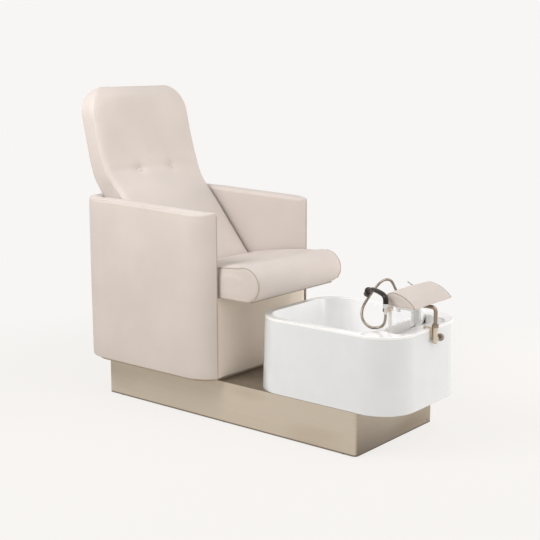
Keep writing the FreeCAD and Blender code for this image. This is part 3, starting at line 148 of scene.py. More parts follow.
def ringFrom(parts):
    # parts: (points, count); two points make a line and three an arc; the ring closes on itself
    ring = []
    for points, count in parts:
        if len(points) == 2:
            a, b = Vector(points[0]), Vector(points[1])
            run = [a.lerp(b, i / count) for i in range(count + 1)]
        else:
            run = arcPoints(*points, count)
        ring += run[:-1]
    return ring


def loft(name, rings):
    # quads between rings of equal length, each end closed by a fan
    count = len(rings[0])
    points = [p for ring in rings for p in ring]
    faces = []
    for row in range(len(rings) - 1):
        for i in range(count):
            j = (i + 1) % count
            faces.append((row * count + i, row * count + j, (row + 1) * count + j, (row + 1) * count + i))
    for row in (0, len(rings) - 1):
        hub = len(points)
        points.append(sum(rings[row], Vector()) / count)
        for i in range(count):
            j = (i + 1) % count
            faces.append((row * count + i, row * count + j, hub))
    return fixNormals(fromPydata(name, points, faces))


def smoothPath(points, spacing):
    # the same path in even steps of about the spacing
    lengths = [0.0]
    for a, b in zip(points, points[1:]):
        lengths.append(lengths[-1] + (b - a).length)
    steps = max(2, round(lengths[-1] / spacing))
    out, k = [], 0
    for i in range(steps + 1):
        s = lengths[-1] * i / steps
        while k < len(points) - 2 and lengths[k + 1] < s:
            k += 1
        span = max(1e-9, lengths[k + 1] - lengths[k])
        out.append(points[k].lerp(points[k + 1], (s - lengths[k]) / span))
    return out


def relax(points, times):
    # evens out a path's kinks, its two ends held
    for turn in range(times):
        middle = [(a + b * 2 + c) / 4 for a, b, c in zip(points, points[1:], points[2:])]
        points = [points[0]] + middle + [points[-1]]
    return points


def tubeMesh(name, paths, radius, sides=10):
    # round welts along open paths, ends closed
    points, faces = [], []
    for path in paths:
        start, last = len(points), len(path) - 1
        side = None
        for i, p in enumerate(path):
            ahead = (path[min(i + 1, last)] - path[max(i - 1, 0)]).normalized()
            side = side or ahead.orthogonal().normalized()
            side = (side - ahead * side.dot(ahead)).normalized()
            other = ahead.cross(side)
            for k in range(sides):
                turn = 2 * math.pi * k / sides
                points.append(p + (side * math.cos(turn) + other * math.sin(turn)) * radius)
        for i in range(last):
            for k in range(sides):
                a, b = start + i * sides + k, start + i * sides + (k + 1) % sides
                faces.append((a, b, b + sides, a + sides))
        faces.append(tuple(range(start + sides - 1, start - 1, -1)))
        faces.append(tuple(range(start + last * sides, start + (last + 1) * sides)))
    return smoothShade(fixNormals(fromPydata(name, points, faces)), 60)


def surfaceTree(obj):
    work = bmesh.new()
    work.from_mesh(obj.data)
    tree = BVHTree.FromBMesh(work)
    work.free()
    return tree


def onSurface(tree, path, proud):
    # lays a path on a piece's finished skin, standing out by proud
    out = []
    for p in path:
        spot, normal, face, away = tree.find_nearest(p)
        out.append(spot + normal * proud)
    return out


def hexColour(text):
    # an sRGB colour as Blender's linear numbers
    values = [int(text[i:i + 2], 16) / 255 for i in (0, 2, 4)]
    return tuple(v / 12.92 if v <= 0.04045 else ((v + 0.055) / 1.055) ** 2.4 for v in values) + (1,)


def maths(tree, operation, first, second, clamp=False):
    # one arithmetic node, whose two values are numbers or sockets
    node = tree.nodes.new("ShaderNodeMath")
    node.operation = operation
    node.use_clamp = clamp
    for socket, value in zip(node.inputs, (first, second)):
        if isinstance(value, (int, float)):
            socket.default_value = value
        else:
            tree.links.new(value, socket)
    return node.outputs[0]


def mapped(tree, source, **values):
    # one range node, whose limits are named with underscores
    node = tree.nodes.new("ShaderNodeMapRange")
    for key, value in values.items():
        node.inputs[key.replace("_", " ")].default_value = value
    tree.links.new(source, node.inputs["Value"])
    return node


class shadeNodes:
    # a short way to lay out one material's nodes
    def __init__(self, name):
        self.material = bpy.data.materials.new(name)
        self.material.use_nodes = True
        self.tree = self.material.node_tree
        self.nodes, self.links = self.tree.nodes, self.tree.links
        self.shader = self.nodes["Principled BSDF"]
        self.place = self.add("ShaderNodeTexCoord").outputs["Object"]

    def add(self, kind, **inputs):
        node = self.nodes.new(kind)
        for key, value in inputs.items():
            node.inputs[key.replace("_", " ")].default_value = value
        return node

    def stretched(self, scale):
        node = self.add("ShaderNodeMapping", Scale=scale)
        self.links.new(self.place, node.inputs["Vector"])
        return node.outputs["Vector"]

    def noise(self, scale, detail=2.0, roughness=0.5, vector=None):
        node = self.add("ShaderNodeTexNoise", Scale=scale, Detail=detail, Roughness=roughness)
        self.links.new(vector or self.place, node.inputs["Vector"])
        return node.outputs[0]

    def cells(self, scale):
        node = self.add("ShaderNodeTexVoronoi", Scale=scale)
        node.feature = "DISTANCE_TO_EDGE"
        self.links.new(self.place, node.inputs["Vector"])
        return node.outputs["Distance"]

    def span(self, value, low, high, fromLow=0.3, fromHigh=0.7):
        limits = {"From_Min": fromLow, "From_Max": fromHigh, "To_Min": low, "To_Max": high}
        return mapped(self.tree, value, **limits).outputs["Result"]

    def blendColours(self, factor, first, second):
        # each colour is six hex digits or another blend's socket
        node = self.nodes.new("ShaderNodeMix")
        node.data_type = "RGBA"
        self.links.new(factor, node.inputs[0])
        for socket, colour in ((node.inputs[6], first), (node.inputs[7], second)):
            if isinstance(colour, str):
                socket.default_value = hexColour(colour)
            else:
                self.links.new(colour, socket)
        return node.outputs[2]

    def bump(self, height, strength, distance, under=None):
        node = self.add("ShaderNodeBump", Strength=strength, Distance=distance)
        self.links.new(height, node.inputs["Height"])
        if under:
            self.links.new(under, node.inputs["Normal"])
        return node.outputs["Normal"]

    def wire(self, **outputs):
        for key, value in outputs.items():
            self.links.new(value, self.shader.inputs[key.replace("_", " ")])

    def fix(self, **values):
        for key, value in values.items():
            self.shader.inputs[key.replace("_", " ")].default_value = value


# upholstery: a fine pebbled grain over soft creases
coverLook = {"grain": 760, "grainEdge": 0.35, "grainStrength": 0.35, "grainDepth": 0.00022, "creaseScale": 46,
             "creaseStrength": 0.12, "creaseDepth": 0.0012, "toneScale": 5, "roughScale": 90,
             "rough": (0.44, 0.56), "shine": 0.42, "sheen": 0.06, "sheenRough": 0.4}


def coverMaterial(name, pale, deep, grain=coverLook["grain"]):
    a = coverLook
    s = shadeNodes(name)
    s.wire(Base_Color=s.blendColours(s.span(s.noise(a["toneScale"], 3), 0, 1), pale, deep),
           Roughness=s.span(s.noise(a["roughScale"], 3), *a["rough"]))
    pebble = s.span(s.cells(grain), 0, 1, 0, a["grainEdge"])
    crease = s.bump(s.noise(a["creaseScale"], 4, 0.6), a["creaseStrength"], a["creaseDepth"])
    s.wire(Normal=s.bump(pebble, a["grainStrength"], a["grainDepth"], crease))
    s.fix(Specular_IOR_Level=a["shine"], Sheen_Weight=a["sheen"], Sheen_Roughness=a["sheenRough"])
    return s.material


def metalMaterial(name, bright, dull, rough, brush, strength, metallic=1.0):
    s = shadeNodes(name)
    streaks = s.noise(1.0, 3, 0.6, s.stretched(brush))
    s.wire(Base_Color=s.blendColours(s.span(streaks, 0, 1), bright, dull),
           Roughness=s.span(s.noise(7, 4), *rough),
           Normal=s.bump(streaks, strength, 0.0002))
    s.fix(Metallic=metallic)
    return s.material


# plinth sheet: brushed, with soft patches of painted reflection, painted shade and dark reflection on the
# front face that deepen towards the floor and the -X corner, and painted contact shade along the lower edge
skirtLook = {"bright": "CABFAF", "dull": "C5B9A8", "paintedReflection": "AE9F8B", "shade": "5F5243", "edge": "6A5C4B",
             "brush": (2, 2, 900), "cloudSize": (1.5, 1.2, 5), "cloudFrom": 0.5, "cloudTo": 0.68,
             "slope": 0.25, "darkFrom": -0.07, "darkTo": 0.15, "front": -0.591, "frontFrom": 0.0005,
             "frontTo": 0.007, "edgeHigh": 0.011, "edgeFade": 0.004, "rough": (0.28, 0.38), "metallic": 0.35}


def skirtMaterial(name):
    a = skirtLook
    s = shadeNodes(name)
    split = s.add("ShaderNodeSeparateXYZ")
    s.links.new(s.place, split.inputs[0])
    x, y, z = split.outputs
    streaks = s.noise(1.0, 3, 0.6, s.stretched(a["brush"]))
    colour = s.blendColours(s.span(streaks, 0, 1), a["bright"], a["dull"])
    # soft patches of painted reflection: a darker colour in random places
    paintedReflectionPatches = s.span(s.noise(1.0, 2, 0.5, s.stretched(a["cloudSize"])), 0, 1, a["cloudFrom"], a["cloudTo"])
    colour = s.blendColours(paintedReflectionPatches, colour, a["paintedReflection"])
    # painted shade and dark reflection on the front face, darkest low down and towards -X
    height = maths(s.tree, "ADD", z, maths(s.tree, "MULTIPLY", x, a["slope"]))
    onFront = s.span(y, 1, 0, a["front"] + a["frontFrom"], a["front"] + a["frontTo"])
    shade = maths(s.tree, "MULTIPLY", s.span(height, 1, 0, a["darkFrom"], a["darkTo"]), onFront)
    colour = s.blendColours(shade, colour, a["shade"])
    # painted contact shade along the foot of the sheet
    onEdge = s.span(z, 1, 0, a["edgeHigh"] - a["edgeFade"], a["edgeHigh"])
    colour = s.blendColours(onEdge, colour, a["edge"])
    s.wire(Base_Color=colour, Roughness=s.span(s.noise(7, 4), *a["rough"]),
           Normal=s.bump(streaks, 0.02, 0.0002))
    s.fix(Metallic=a["metallic"])
    return s.material


def plasticMaterial(name, colour, second, rough, grain=420, strength=0.05, coat=0.0, shine=0.5):
    s = shadeNodes(name)
    s.wire(Base_Color=s.blendColours(s.span(s.noise(14, 3), 0, 1), colour, second),
           Roughness=s.span(s.noise(60, 3), *rough), Normal=s.bump(s.noise(grain, 2), strength, 0.0002))
    s.fix(Coat_Weight=coat, Coat_Roughness=0.08, Specular_IOR_Level=shine)
    return s.material


def woodMaterial(name, pale, dark):
    s = shadeNodes(name)
    grain = s.noise(1.0, 5, 0.6, s.stretched((60, 6, 60)))
    s.wire(Base_Color=s.blendColours(s.span(grain, 0, 1), pale, dark),
           Roughness=s.span(grain, 0.55, 0.75), Normal=s.bump(grain, 0.2, 0.0006))
    return s.material


def braidMaterial(name, bright, dull):
    s = shadeNodes(name)
    wave = s.add("ShaderNodeTexWave", Scale=130.0, Distortion=0.6, Detail=2.0)
    wave.bands_direction = "DIAGONAL"
    s.links.new(s.place, wave.inputs["Vector"])
    strands = wave.outputs["Fac"]
    s.wire(Base_Color=s.blendColours(strands, bright, dull), Roughness=s.span(strands, 0.3, 0.5),
           Normal=s.bump(strands, 0.5, 0.0006))
    s.fix(Metallic=0.9)
    return s.material


materials = {
    "cover": coverMaterial("creamCover", "D4CAC4", "CEC4BD"),
    # painted light: the cream cover made lighter and warmer for the apron in the shade under the seat
    "apron": coverMaterial("apronCoverPaintedLight", "F0E5D9", "E9DED1"),
    "welt": coverMaterial("creamWelt", "D6CDC8", "CFC6C0", 1100),
    # piping and seam are the cover darkened: painted shade along the welts and seams
    "piping": coverMaterial("shadedPiping", "B9ADA2", "AFA297", 1100),
    "seam": coverMaterial("seamShade", "A89B8E", "9C8F82", 1100),
    "thread": plasticMaterial("seamThread", "E2D6CB", "CFC1B3", (0.6, 0.75), 900, 0.2),
    # one white acrylic in a shaded and a lit copy: the shell darker for painted shade, the basin near white
    # for painted light in the bowl
    "acrylic": plasticMaterial("whiteAcrylic", "E4E7EA", "E1E4E7", (0.07, 0.13), 8, 0.02, coat=0.6),
    "basin": plasticMaterial("basinAcrylicLitCopy", "F9F9F9", "F7F7F7", (0.07, 0.13), 8, 0.02, coat=0.6),
    "skirt": skirtMaterial("champagneSteel"),
    "bar": metalMaterial("satinBronzeSteel", "A59686", "8B7C6C", (0.22, 0.32), (400, 400, 6), 0.08),
    "plate": metalMaterial("champagnePlate", "DDD0BE", "CDBFAC", (0.3, 0.4), (30, 30, 500), 0.1),
    "chrome": metalMaterial("chromePlate", "DADBDC", "CFD0D1", (0.05, 0.1), (9, 9, 9), 0.02),
    "satin": metalMaterial("satinChrome", "EDEDEB", "E4E4E2", (0.26, 0.36), (30, 30, 200), 0.03, 0.55),
    # painted shade: the deck is given a dark brown for the shade it lies in between the chair and the tub
    "deck": plasticMaterial("deckPaintedShade", "7C6F60", "6E6254", (0.45, 0.6), 300, 0.15),
    "frameSteel": plasticMaterial("framePaint", "4A4643", "3D3A37", (0.5, 0.65), 260, 0.25),
    "rubber": plasticMaterial("blackRubber", "2B2A29", "222120", (0.65, 0.8), 500, 0.3),
    "palePlastic": plasticMaterial("palePost", "F3F2F0", "EDECEA", (0.2, 0.3)),
    "pipe": plasticMaterial("greyPipe", "9B9C9C", "8C8D8D", (0.4, 0.5), 200, 0.1),
    "handset": plasticMaterial("darkHandset", "251A13", "19110C", (0.2, 0.3), 120, 0.03, shine=0.3),
    "knob": metalMaterial("greyKnob", "C0B7AC", "A69C91", (0.25, 0.38), (40, 40, 40), 0.08, 0.4),
    "spray": plasticMaterial("sprayFace", "55504C", "47423F", (0.4, 0.5)),
    "hose": metalMaterial("woundHose", "A89D90", "80766B", (0.2, 0.32), (60, 60, 60), 0.1, 0.9),
    "braid": braidMaterial("steelBraid", "C8CACB", "6E7072"),
    "board": woodMaterial("birchBoard", "C9A878", "A98455"),
    "baseBoard": plasticMaterial("baseBoard", "C2B5A3", "B4A693", (0.55, 0.7), 180, 0.25),
}

# the nodes shown as they are, under the finish each one has
nodeFinish = {
    "acrylic": ["tub_shell"],
    "basin": ["tub_basin"],
    "skirt": ["front_side_skirt", "far_side_skirt", "rear_skirt"],
    "bar": ["footrest_bar", "bar_collar", "clamp_screw"],
    "plate": ["clamp_bracket", "back_brackets", "footrest_plate", "holder_cradle"],
    "chrome": ["mixer_lever", "mixer_nut", "hose_cone_nut", "drain_flange", "drain_plug", "inlet_nipples",
               "foot_locknuts"],
    "satin": ["mixer_body", "mixer_cartridge", "mixer_spout"],
    "deck": ["deck_panel"],
    "frameSteel": ["frame_side_rails", "frame_crossbars", "frame_posts"],
    "rubber": ["levelling_feet", "hook_pad", "tub_pads", "drain_seal"],
    "palePlastic": ["holder_post"],
    "pipe": ["waste_pipe", "drain_nut"],
    "knob": ["clamp_knob"],
    "spray": ["spray_face"],
    "braid": ["supply_hoses"],
    "board": ["body_board", "seat_battens", "back_board"],
    # the seat board wears the darkened seam cover: painted shade where it shows under the seat cushion
    "seam": ["seat_board"],
    "baseBoard": ["base_board"],
}
for finish, names in nodeFinish.items():
    for nodeName in names:
        giveMaterial(nodes[nodeName], materials[finish])
print("materials made:", len(materials))


class geometryTree:
    # a node tree with one geometry input and output, and named inputs for its sizes
    def __init__(self, name, sizes):
        self.tree = bpy.data.node_groups.new(name, "GeometryNodeTree")
        face = self.tree.interface
        face.new_socket("Geometry", in_out="INPUT", socket_type="NodeSocketGeometry")
        self.keys = {}
        for label, value in sizes.items():
            kind = "NodeSocketInt" if isinstance(value, int) else "NodeSocketFloat"
            socket = face.new_socket(label, in_out="INPUT", socket_type=kind)
            socket.default_value = value
            self.keys[label] = socket.identifier
        face.new_socket("Geometry", in_out="OUTPUT", socket_type="NodeSocketGeometry")
        self.inputs = self.tree.nodes.new("NodeGroupInput").outputs
        self.output = self.tree.nodes.new("NodeGroupOutput").inputs[0]

    def add(self, kind, values=None, setting=None, **wires):
        node = self.tree.nodes.new(kind)
        for key, value in (setting or {}).items():
            setattr(node, key, value)
        for key, value in (values or {}).items():
            node.inputs[key].default_value = value
        for key, source in wires.items():
            self.tree.links.new(source, node.inputs[key.replace("_", " ")])
        return node

    def maths(self, operation, first, second):
        return maths(self.tree, operation, first, second)

    def path(self, **step):
        # the incoming edges as a curve, in even steps
        line = self.add("GeometryNodeMeshToCurve", Mesh=self.inputs["Geometry"])
        return self.add("GeometryNodeResampleCurve", None, {"mode": "LENGTH"}, Curve=line.outputs[0], **step)

    def aimed(self, instance):
        # the instance on every point, its Z along the point's own aim
        aim = self.add("GeometryNodeInputNamedAttribute", {"Name": "aim"}, {"data_type": "FLOAT_VECTOR"})
        turn = self.add("FunctionNodeAlignRotationToVector", None, {"axis": "Z"}, Vector=aim.outputs[0])
        return self.add("GeometryNodeInstanceOnPoints", Points=self.inputs["Geometry"], Instance=instance,
                        Rotation=turn.outputs[0])

    def finish(self, last, material):
        real = self.add("GeometryNodeRealizeInstances", Geometry=last.outputs[0])
        coated = self.add("GeometryNodeSetMaterial", Geometry=real.outputs[0])
        coated.inputs["Material"].default_value = material
        self.tree.links.new(coated.outputs[0], self.output)


def runTree(name, tree, points, edges, sizes, aims=None):
    # runs the tree on loose points or paths and keeps the plain mesh it makes
    seed = fromPydata(name + "Seed", points, [], edges)
    if aims:
        layer = seed.data.attributes.new("aim", "FLOAT_VECTOR", "POINT")
        for item, value in zip(layer.data, aims):
            item.vector = value
    modifier = seed.modifiers.new("nodes", "NODES")
    modifier.node_group = tree.tree
    for label, value in sizes.items():
        modifier[tree.keys[label]] = value
    mesh = evaluatedMesh(seed)
    seed.modifiers.remove(modifier)
    bpy.data.objects.remove(seed)
    mesh.name = name
    return link(bpy.data.objects.new(name, mesh))


def nurbsMesh(name, places, order, radii=None, **section):
    # the mesh of a smooth curve through the places, a plain line or one with a round section
    curve = bpy.data.curves.new(name, "CURVE")
    curve.dimensions = "3D"
    spline = curve.splines.new("NURBS")
    spline.points.add(len(places) - 1)
    for point, place, radius in zip(spline.points, places, radii or [1] * len(places)):
        point.co = (*place, 1)
        point.radius = radius
    spline.order_u = order
    spline.use_endpoint_u = True
    spline.resolution_u = 12
    for key, value in section.items():
        setattr(curve, key, value)
    line = link(bpy.data.objects.new(name, curve))
    mesh = evaluatedMesh(line)
    bpy.data.objects.remove(line)
    return mesh


# shower hose, from the mixer's outlet to the handset's cone
hoseLook = {
    "diameter": 0.010, "length": 0.525, "ribPitch": 0.0024, "ribDepth": 0.0007, "stepsPerRib": 4.0,
    "sides": 18, "leaves": (0.03, -0.55, 0.5), "arrives": (-0.145, -0.55, 0.5),
    "route": [(0.098, -0.590, 0.492), (0.057, -0.590, 0.492), (0.036, -0.571, 0.528),
              (0.024, -0.562, 0.566), (0.008, -0.554, 0.596), (-0.017, -0.534, 0.594),
              (-0.036, -0.513, 0.560), (-0.062, -0.504, 0.530), (-0.095, -0.509, 0.513),
              (-0.126, -0.521, 0.496), (-0.146, -0.538, 0.470), (-0.147, -0.568, 0.449),
              (-0.148, -0.604, 0.452), (-0.154, -0.640, 0.472), (-0.154, -0.640, 0.508)],
}
hoseSizes = {"Radius": hoseLook["diameter"] / 2, "Pitch": hoseLook["ribPitch"], "Depth": hoseLook["ribDepth"],
             "Sides": hoseLook["sides"]}


def hoseTree():
    # a tube whose radius swells and narrows with each turn of the wound sheath
    t = geometryTree("woundHose", hoseSizes)
    pitch = t.inputs["Pitch"]
    steps = t.path(Length=t.maths("DIVIDE", pitch, hoseLook["stepsPerRib"]))
    along = t.add("GeometryNodeSplineParameter").outputs["Length"]
    wave = t.maths("SINE", t.maths("MULTIPLY", t.maths("DIVIDE", along, pitch), 2 * math.pi), 0.0)
    dip = t.maths("MULTIPLY", t.maths("SUBTRACT", 1.0, wave), t.maths("DIVIDE", t.inputs["Depth"], 2.0))
    ribbed = t.add("GeometryNodeSetCurveRadius", Curve=steps.outputs[0],
                   Radius=t.maths("SUBTRACT", t.inputs["Radius"], dip))
    profile = t.add("GeometryNodeCurvePrimitiveCircle", {"Radius": 1.0}, Resolution=t.inputs["Sides"])
    tube = t.add("GeometryNodeCurveToMesh", {"Fill Caps": True}, Curve=ribbed.outputs[0],
                 Profile_Curve=profile.outputs[0])
    if "Scale" in tube.inputs:
        t.tree.links.new(t.add("GeometryNodeInputRadius").outputs[0], tube.inputs["Scale"])
    t.finish(tube, materials["hose"])
    return t


def makeHose():
    a = hoseLook
    path = [v.co.copy() for v in nurbsMesh("hoseLine", a["route"], 3).vertices]
    hose = runTree("showerHose", hoseTree(), path, [(i, i + 1) for i in range(len(path) - 1)], hoseSizes)
    smoothShade(hose, 80)
    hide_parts("shower_hose")
    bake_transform(hose)


makeHose()
print("hose laid")


# button-head screws: each head's place and the way it faces
screwKinds = {
    "skirtScrewHeads": {
        "node": "skirt_screws", "body": "chair", "slot": "champagne_steel", "finish": "skirt",
        "sizes": {"Radius": 0.0045, "Height": 0.002, "Socket": 0.0021},
        "heads": [((0.230, -0.591, 0.018), (0, -1, 0)),
                  ((0.250, -0.5166, 0.146), (1, 0, 0)), ((0.250, 0.029, 0.146), (1, 0, 0)),
                  ((0.250, 0.5746, 0.146), (1, 0, 0)),
                  ((-0.230, 0.649, 0.018), (0, 1, 0)), ((-0.230, 0.649, 0.146), (0, 1, 0)),
                  ((0.230, 0.649, 0.018), (0, 1, 0)), ((0.230, 0.649, 0.146), (0, 1, 0))]},
    "clampBoltHead": {
        "node": "clamp_bolts", "body": "chair", "slot": "chrome", "finish": "chrome",
        "sizes": {"Radius": 0.0055, "Height": 0.003, "Socket": 0.0026},
        "heads": [((0.018, -0.7409, 0.434), (0, -1, 0))]},
    "plateScrewHeads": {
        "node": "plate_screws", "body": "footrest", "slot": "chrome", "finish": "chrome",
        "sizes": {"Radius": 0.0055, "Height": 0.003, "Socket": 0.0026},
        "heads": [((x, y, 0.527), (0, 0, -1)) for x in (-0.048, 0.048) for y in (-0.6975, -0.6515)]},
}


def screwTree(sizes, material):
    # a domed head with a six-sided socket
    t = geometryTree("buttonHeadScrew", sizes)
    radius, height = t.inputs["Radius"], t.inputs["Height"]
    dome = t.add("GeometryNodeMeshUVSphere", {"Segments": 24, "Rings": 12, "Radius": 1.0})
    size = t.add("ShaderNodeCombineXYZ", X=radius, Y=radius, Z=height)
    head = t.add("GeometryNodeTransform", Geometry=dome.outputs["Mesh"], Scale=size.outputs[0])
    drill = t.add("GeometryNodeMeshCylinder", {"Vertices": 6}, Radius=t.inputs["Socket"], Depth=height)
    lift = t.add("ShaderNodeCombineXYZ", Z=t.maths("MULTIPLY", height, 0.95))
    raised = t.add("GeometryNodeTransform", Geometry=drill.outputs["Mesh"], Translation=lift.outputs[0])
    cut = t.add("GeometryNodeMeshBoolean", None, {"operation": "DIFFERENCE"})
    t.tree.links.new(head.outputs[0], cut.inputs[0])
    t.tree.links.new(raised.outputs[0], cut.inputs[1])
    t.finish(t.aimed(cut.outputs[0]), material)
    return t


for pieceName, kind in screwKinds.items():
    tree = screwTree(kind["sizes"], materials[kind["finish"]])
    heads = runTree(pieceName, tree, [place for place, aim in kind["heads"]], [], kind["sizes"],
                    [aim for place, aim in kind["heads"]])
    settle(smoothShade(heads, 40), kind["body"], kind["node"])
print("screws set")


# sewing: rows of stitches, and round welts
stitchLook = {"Pitch": 0.0048, "Length": 0.0034, "Thread": 0.0011}


def stitchTree():
    t = geometryTree("stitchRow", stitchLook)
    steps = t.path(Length=t.inputs["Pitch"])
    bead = t.add("GeometryNodeMeshUVSphere", {"Segments": 6, "Rings": 4, "Radius": 0.5})
    thread = t.inputs["Thread"]
    size = t.add("ShaderNodeCombineXYZ", X=t.inputs["Length"], Y=thread, Z=thread)
    turn = t.add("FunctionNodeAlignRotationToVector", None, {"axis": "X"},
                 Vector=t.add("GeometryNodeInputTangent").outputs[0])
    row = t.add("GeometryNodeInstanceOnPoints", Points=steps.outputs[0], Instance=bead.outputs["Mesh"],
                Rotation=turn.outputs[0], Scale=size.outputs[0])
    t.finish(row, materials["thread"])
    return t


stitches = stitchTree()


def addStitches(name, paths, body, sizes=stitchLook):
    points, edges = [], []
    for path in paths:
        start = len(points)
        points += path
        edges += [(start + i, start + i + 1) for i in range(len(path) - 1)]
    settle(smoothShade(runTree(name, stitches, points, edges, sizes)), body)


def addWelt(name, paths, radius, body, finish="welt"):
    settle(tubeMesh(name, paths, radius), body, None, finish)


def sewnEnds(cushion, look, ringAt):
    # paths of a welt and a row of stitches round both end panels, each with its inset and how proud it stands
    skin = surfaceTree(cushion)
    a = look["sewing"]
    found = {"welt": [], "stitches": []}
    for side in (-1, 1):
        for kind, paths in found.items():
            inset, proud = a[kind]
            ring = ringAt(side * (look["half"] - inset), a["sink"])
            path = smoothPath([Vector(p) for p in ring[a["from"]:a["to"]]], a["step"])
            paths.append(relax(onSurface(skin, relax(path, 2), proud), a["relax"]))
    return found["welt"], found["stitches"]


def addRemesh(obj, voxel):
    remesh = obj.modifiers.new("remesh", "REMESH")
    remesh.mode = "VOXEL"
    remesh.voxel_size = voxel


def addCalm(obj, times):
    calm = obj.modifiers.new("calm", "SMOOTH")
    calm.factor = 0.5
    calm.iterations = times


# how the cushions swell
clothLook = {"quality": 4, "mass": 0.3, "frames": 12}


def puff(obj, look, pinned):
    # swells a closed form with the cloth solver: slightly smaller first, then blown up and capped
    addRemesh(obj, look["voxel"])
    mesh = applyModifiers(obj).data
    inward = [v.normal * look["shrink"] for v in mesh.vertices]
    for v, step in zip(mesh.vertices, inward):
        if not pinned(v.co):
            v.co -= step
    group = obj.vertex_groups.new(name="held")
    group.add([v.index for v in mesh.vertices if pinned(v.co)], 1.0, "ADD")
    before = [v.co.copy() for v in mesh.vertices]
    cloth = obj.modifiers.new("cloth", "CLOTH")
    settings = cloth.settings
    settings.quality = clothLook["quality"]
    settings.mass = clothLook["mass"]
    settings.use_pressure = True
    settings.uniform_pressure_force = look["pressure"]
    settings.vertex_group_mass = "held"
    settings.effector_weights.gravity = 0
    cloth.collision_settings.use_collision = False
    cloth.point_cache.frame_end = clothLook["frames"]
    for number in range(1, clothLook["frames"] + 1):
        bpy.context.scene.frame_set(number)
    after = [v.co.copy() for v in evaluatedMesh(obj).vertices]
    obj.modifiers.remove(cloth)
    obj.vertex_groups.clear()
    bpy.context.scene.frame_set(1)
    largest = 0
    for v, old, new in zip(mesh.vertices, before, after):
        move = new - old
        largest = max(largest, move.length)
        if move.length > look["cap"]:
            move.length = look["cap"]
        v.co = old + move
    print(obj.name, "swelled by up to", round(largest * 1000, 1), "mm on", len(mesh.vertices), "points")
    addCalm(obj, look["calm"])
    smoothShade(applyModifiers(obj))


def addPadded(obj, body, node, finish):
    settle(obj, body, node, finish)


def finishCushion(obj, body, node):
    divide = obj.modifiers.new("divide", "SUBSURF")
    divide.levels = divide.render_levels = 1
    addPadded(smoothShade(applyModifiers(obj)), body, node, "cover")


def roll(name, look, ringAt):
    # a closed form across the chair from end panel to end panel, whose ends sink towards their edges
    ends = look["ends"]
    stations = [(-share, sink) for share, sink in ends] + [(0, 0)] + ends[::-1]
    return loft(name, [ringAt(look["half"] * share, sink) for share, sink in stations])


# seat cushion: a round-nosed roll whose ends are sewn-in panels
seatLook = {
    "half": 0.262, "bottom": 0.490, "nose": -0.166, "noseRadius": 0.066, "crest": 0.621, "crestY": -0.062,
    "shoulder": (0.36, 0.76), "rear": 0.300, "rearTop": 0.569, "topRise": 0.009,
    "boardTop": 0.5085, "boardHalf": 0.2535, "boardFront": -0.1195, "boardLip": 0.02,
    "ends": [(1, 0.010), (0.994, 0.0062), (0.985, 0.0042), (0.97, 0.003), (0.955, 0.0024), (0.9, 0.0016),
             (0.75, 0.0009), (0.4, 0.0003)],
    "heldBelow": 0.512, "heldFrom": -0.11, "heldRear": 0.294,
    "voxel": 0.006, "shrink": 0.0015, "pressure": 5.0, "cap": 0.0025, "calm": 2, "fill": 0.85,
    "sewing": {"radius": 0.0024, "welt": (0.0035, 0.0006), "stitches": (0.0145, 0.0003), "sink": 0.004,
               "from": 8, "to": 66, "step": 0.006, "relax": 3},
}


def seatRing(x, sink):
    # one outline from under the nose, over the top and back along the board
    a = seatLook
    base, edge, rear = a["bottom"], a["boardFront"] + a["boardLip"], a["rear"]
    low = a["boardTop"] if abs(x) < a["boardHalf"] else base
    crest, rearTop = a["crest"] - sink, a["rearTop"] - sink
    nose = a["noseRadius"] - sink / 2
    turnY = a["nose"] + sink + nose
    midZ = base + nose
    slant = nose * math.sqrt(0.5)
    back, up = a["shoulder"]
    at = lambda y, z: (x, y, z)
    shoulder = at(a["nose"] + sink + nose * back, midZ + (crest - midZ) * up)
    middle = at((a["crestY"] + rear) / 2, (crest + rearTop) / 2 + a["topRise"])
    return ringFrom([
        ([at(turnY, base), at(turnY - slant, midZ - slant), at(turnY - nose, midZ)], 16),
        ([at(turnY - nose, midZ), shoulder, at(a["crestY"], crest)], 20),
        ([at(a["crestY"], crest), middle, at(rear, rearTop)], 30),
        ([at(rear, rearTop), at(rear, low)], 8),
        ([at(rear, low), at(edge, low)], 28),
        ([at(edge, low), at(turnY, base)], 2),
    ])


def makeSeat():
    a = seatLook
    cushion = roll("seatCushion", a, seatRing)
    puff(cushion, a, lambda p: p.z < a["heldBelow"] and p.y > a["heldFrom"] or p.y > a["heldRear"])
    finishCushion(cushion, "chair", "seat_cushion")
    welts, rows = sewnEnds(cushion, a, seatRing)
    addWelt("seatWelts", welts, a["sewing"]["radius"], "chair", "piping")
    addStitches("seatStitches", rows, "chair")


makeSeat()
print("seat cushion made")


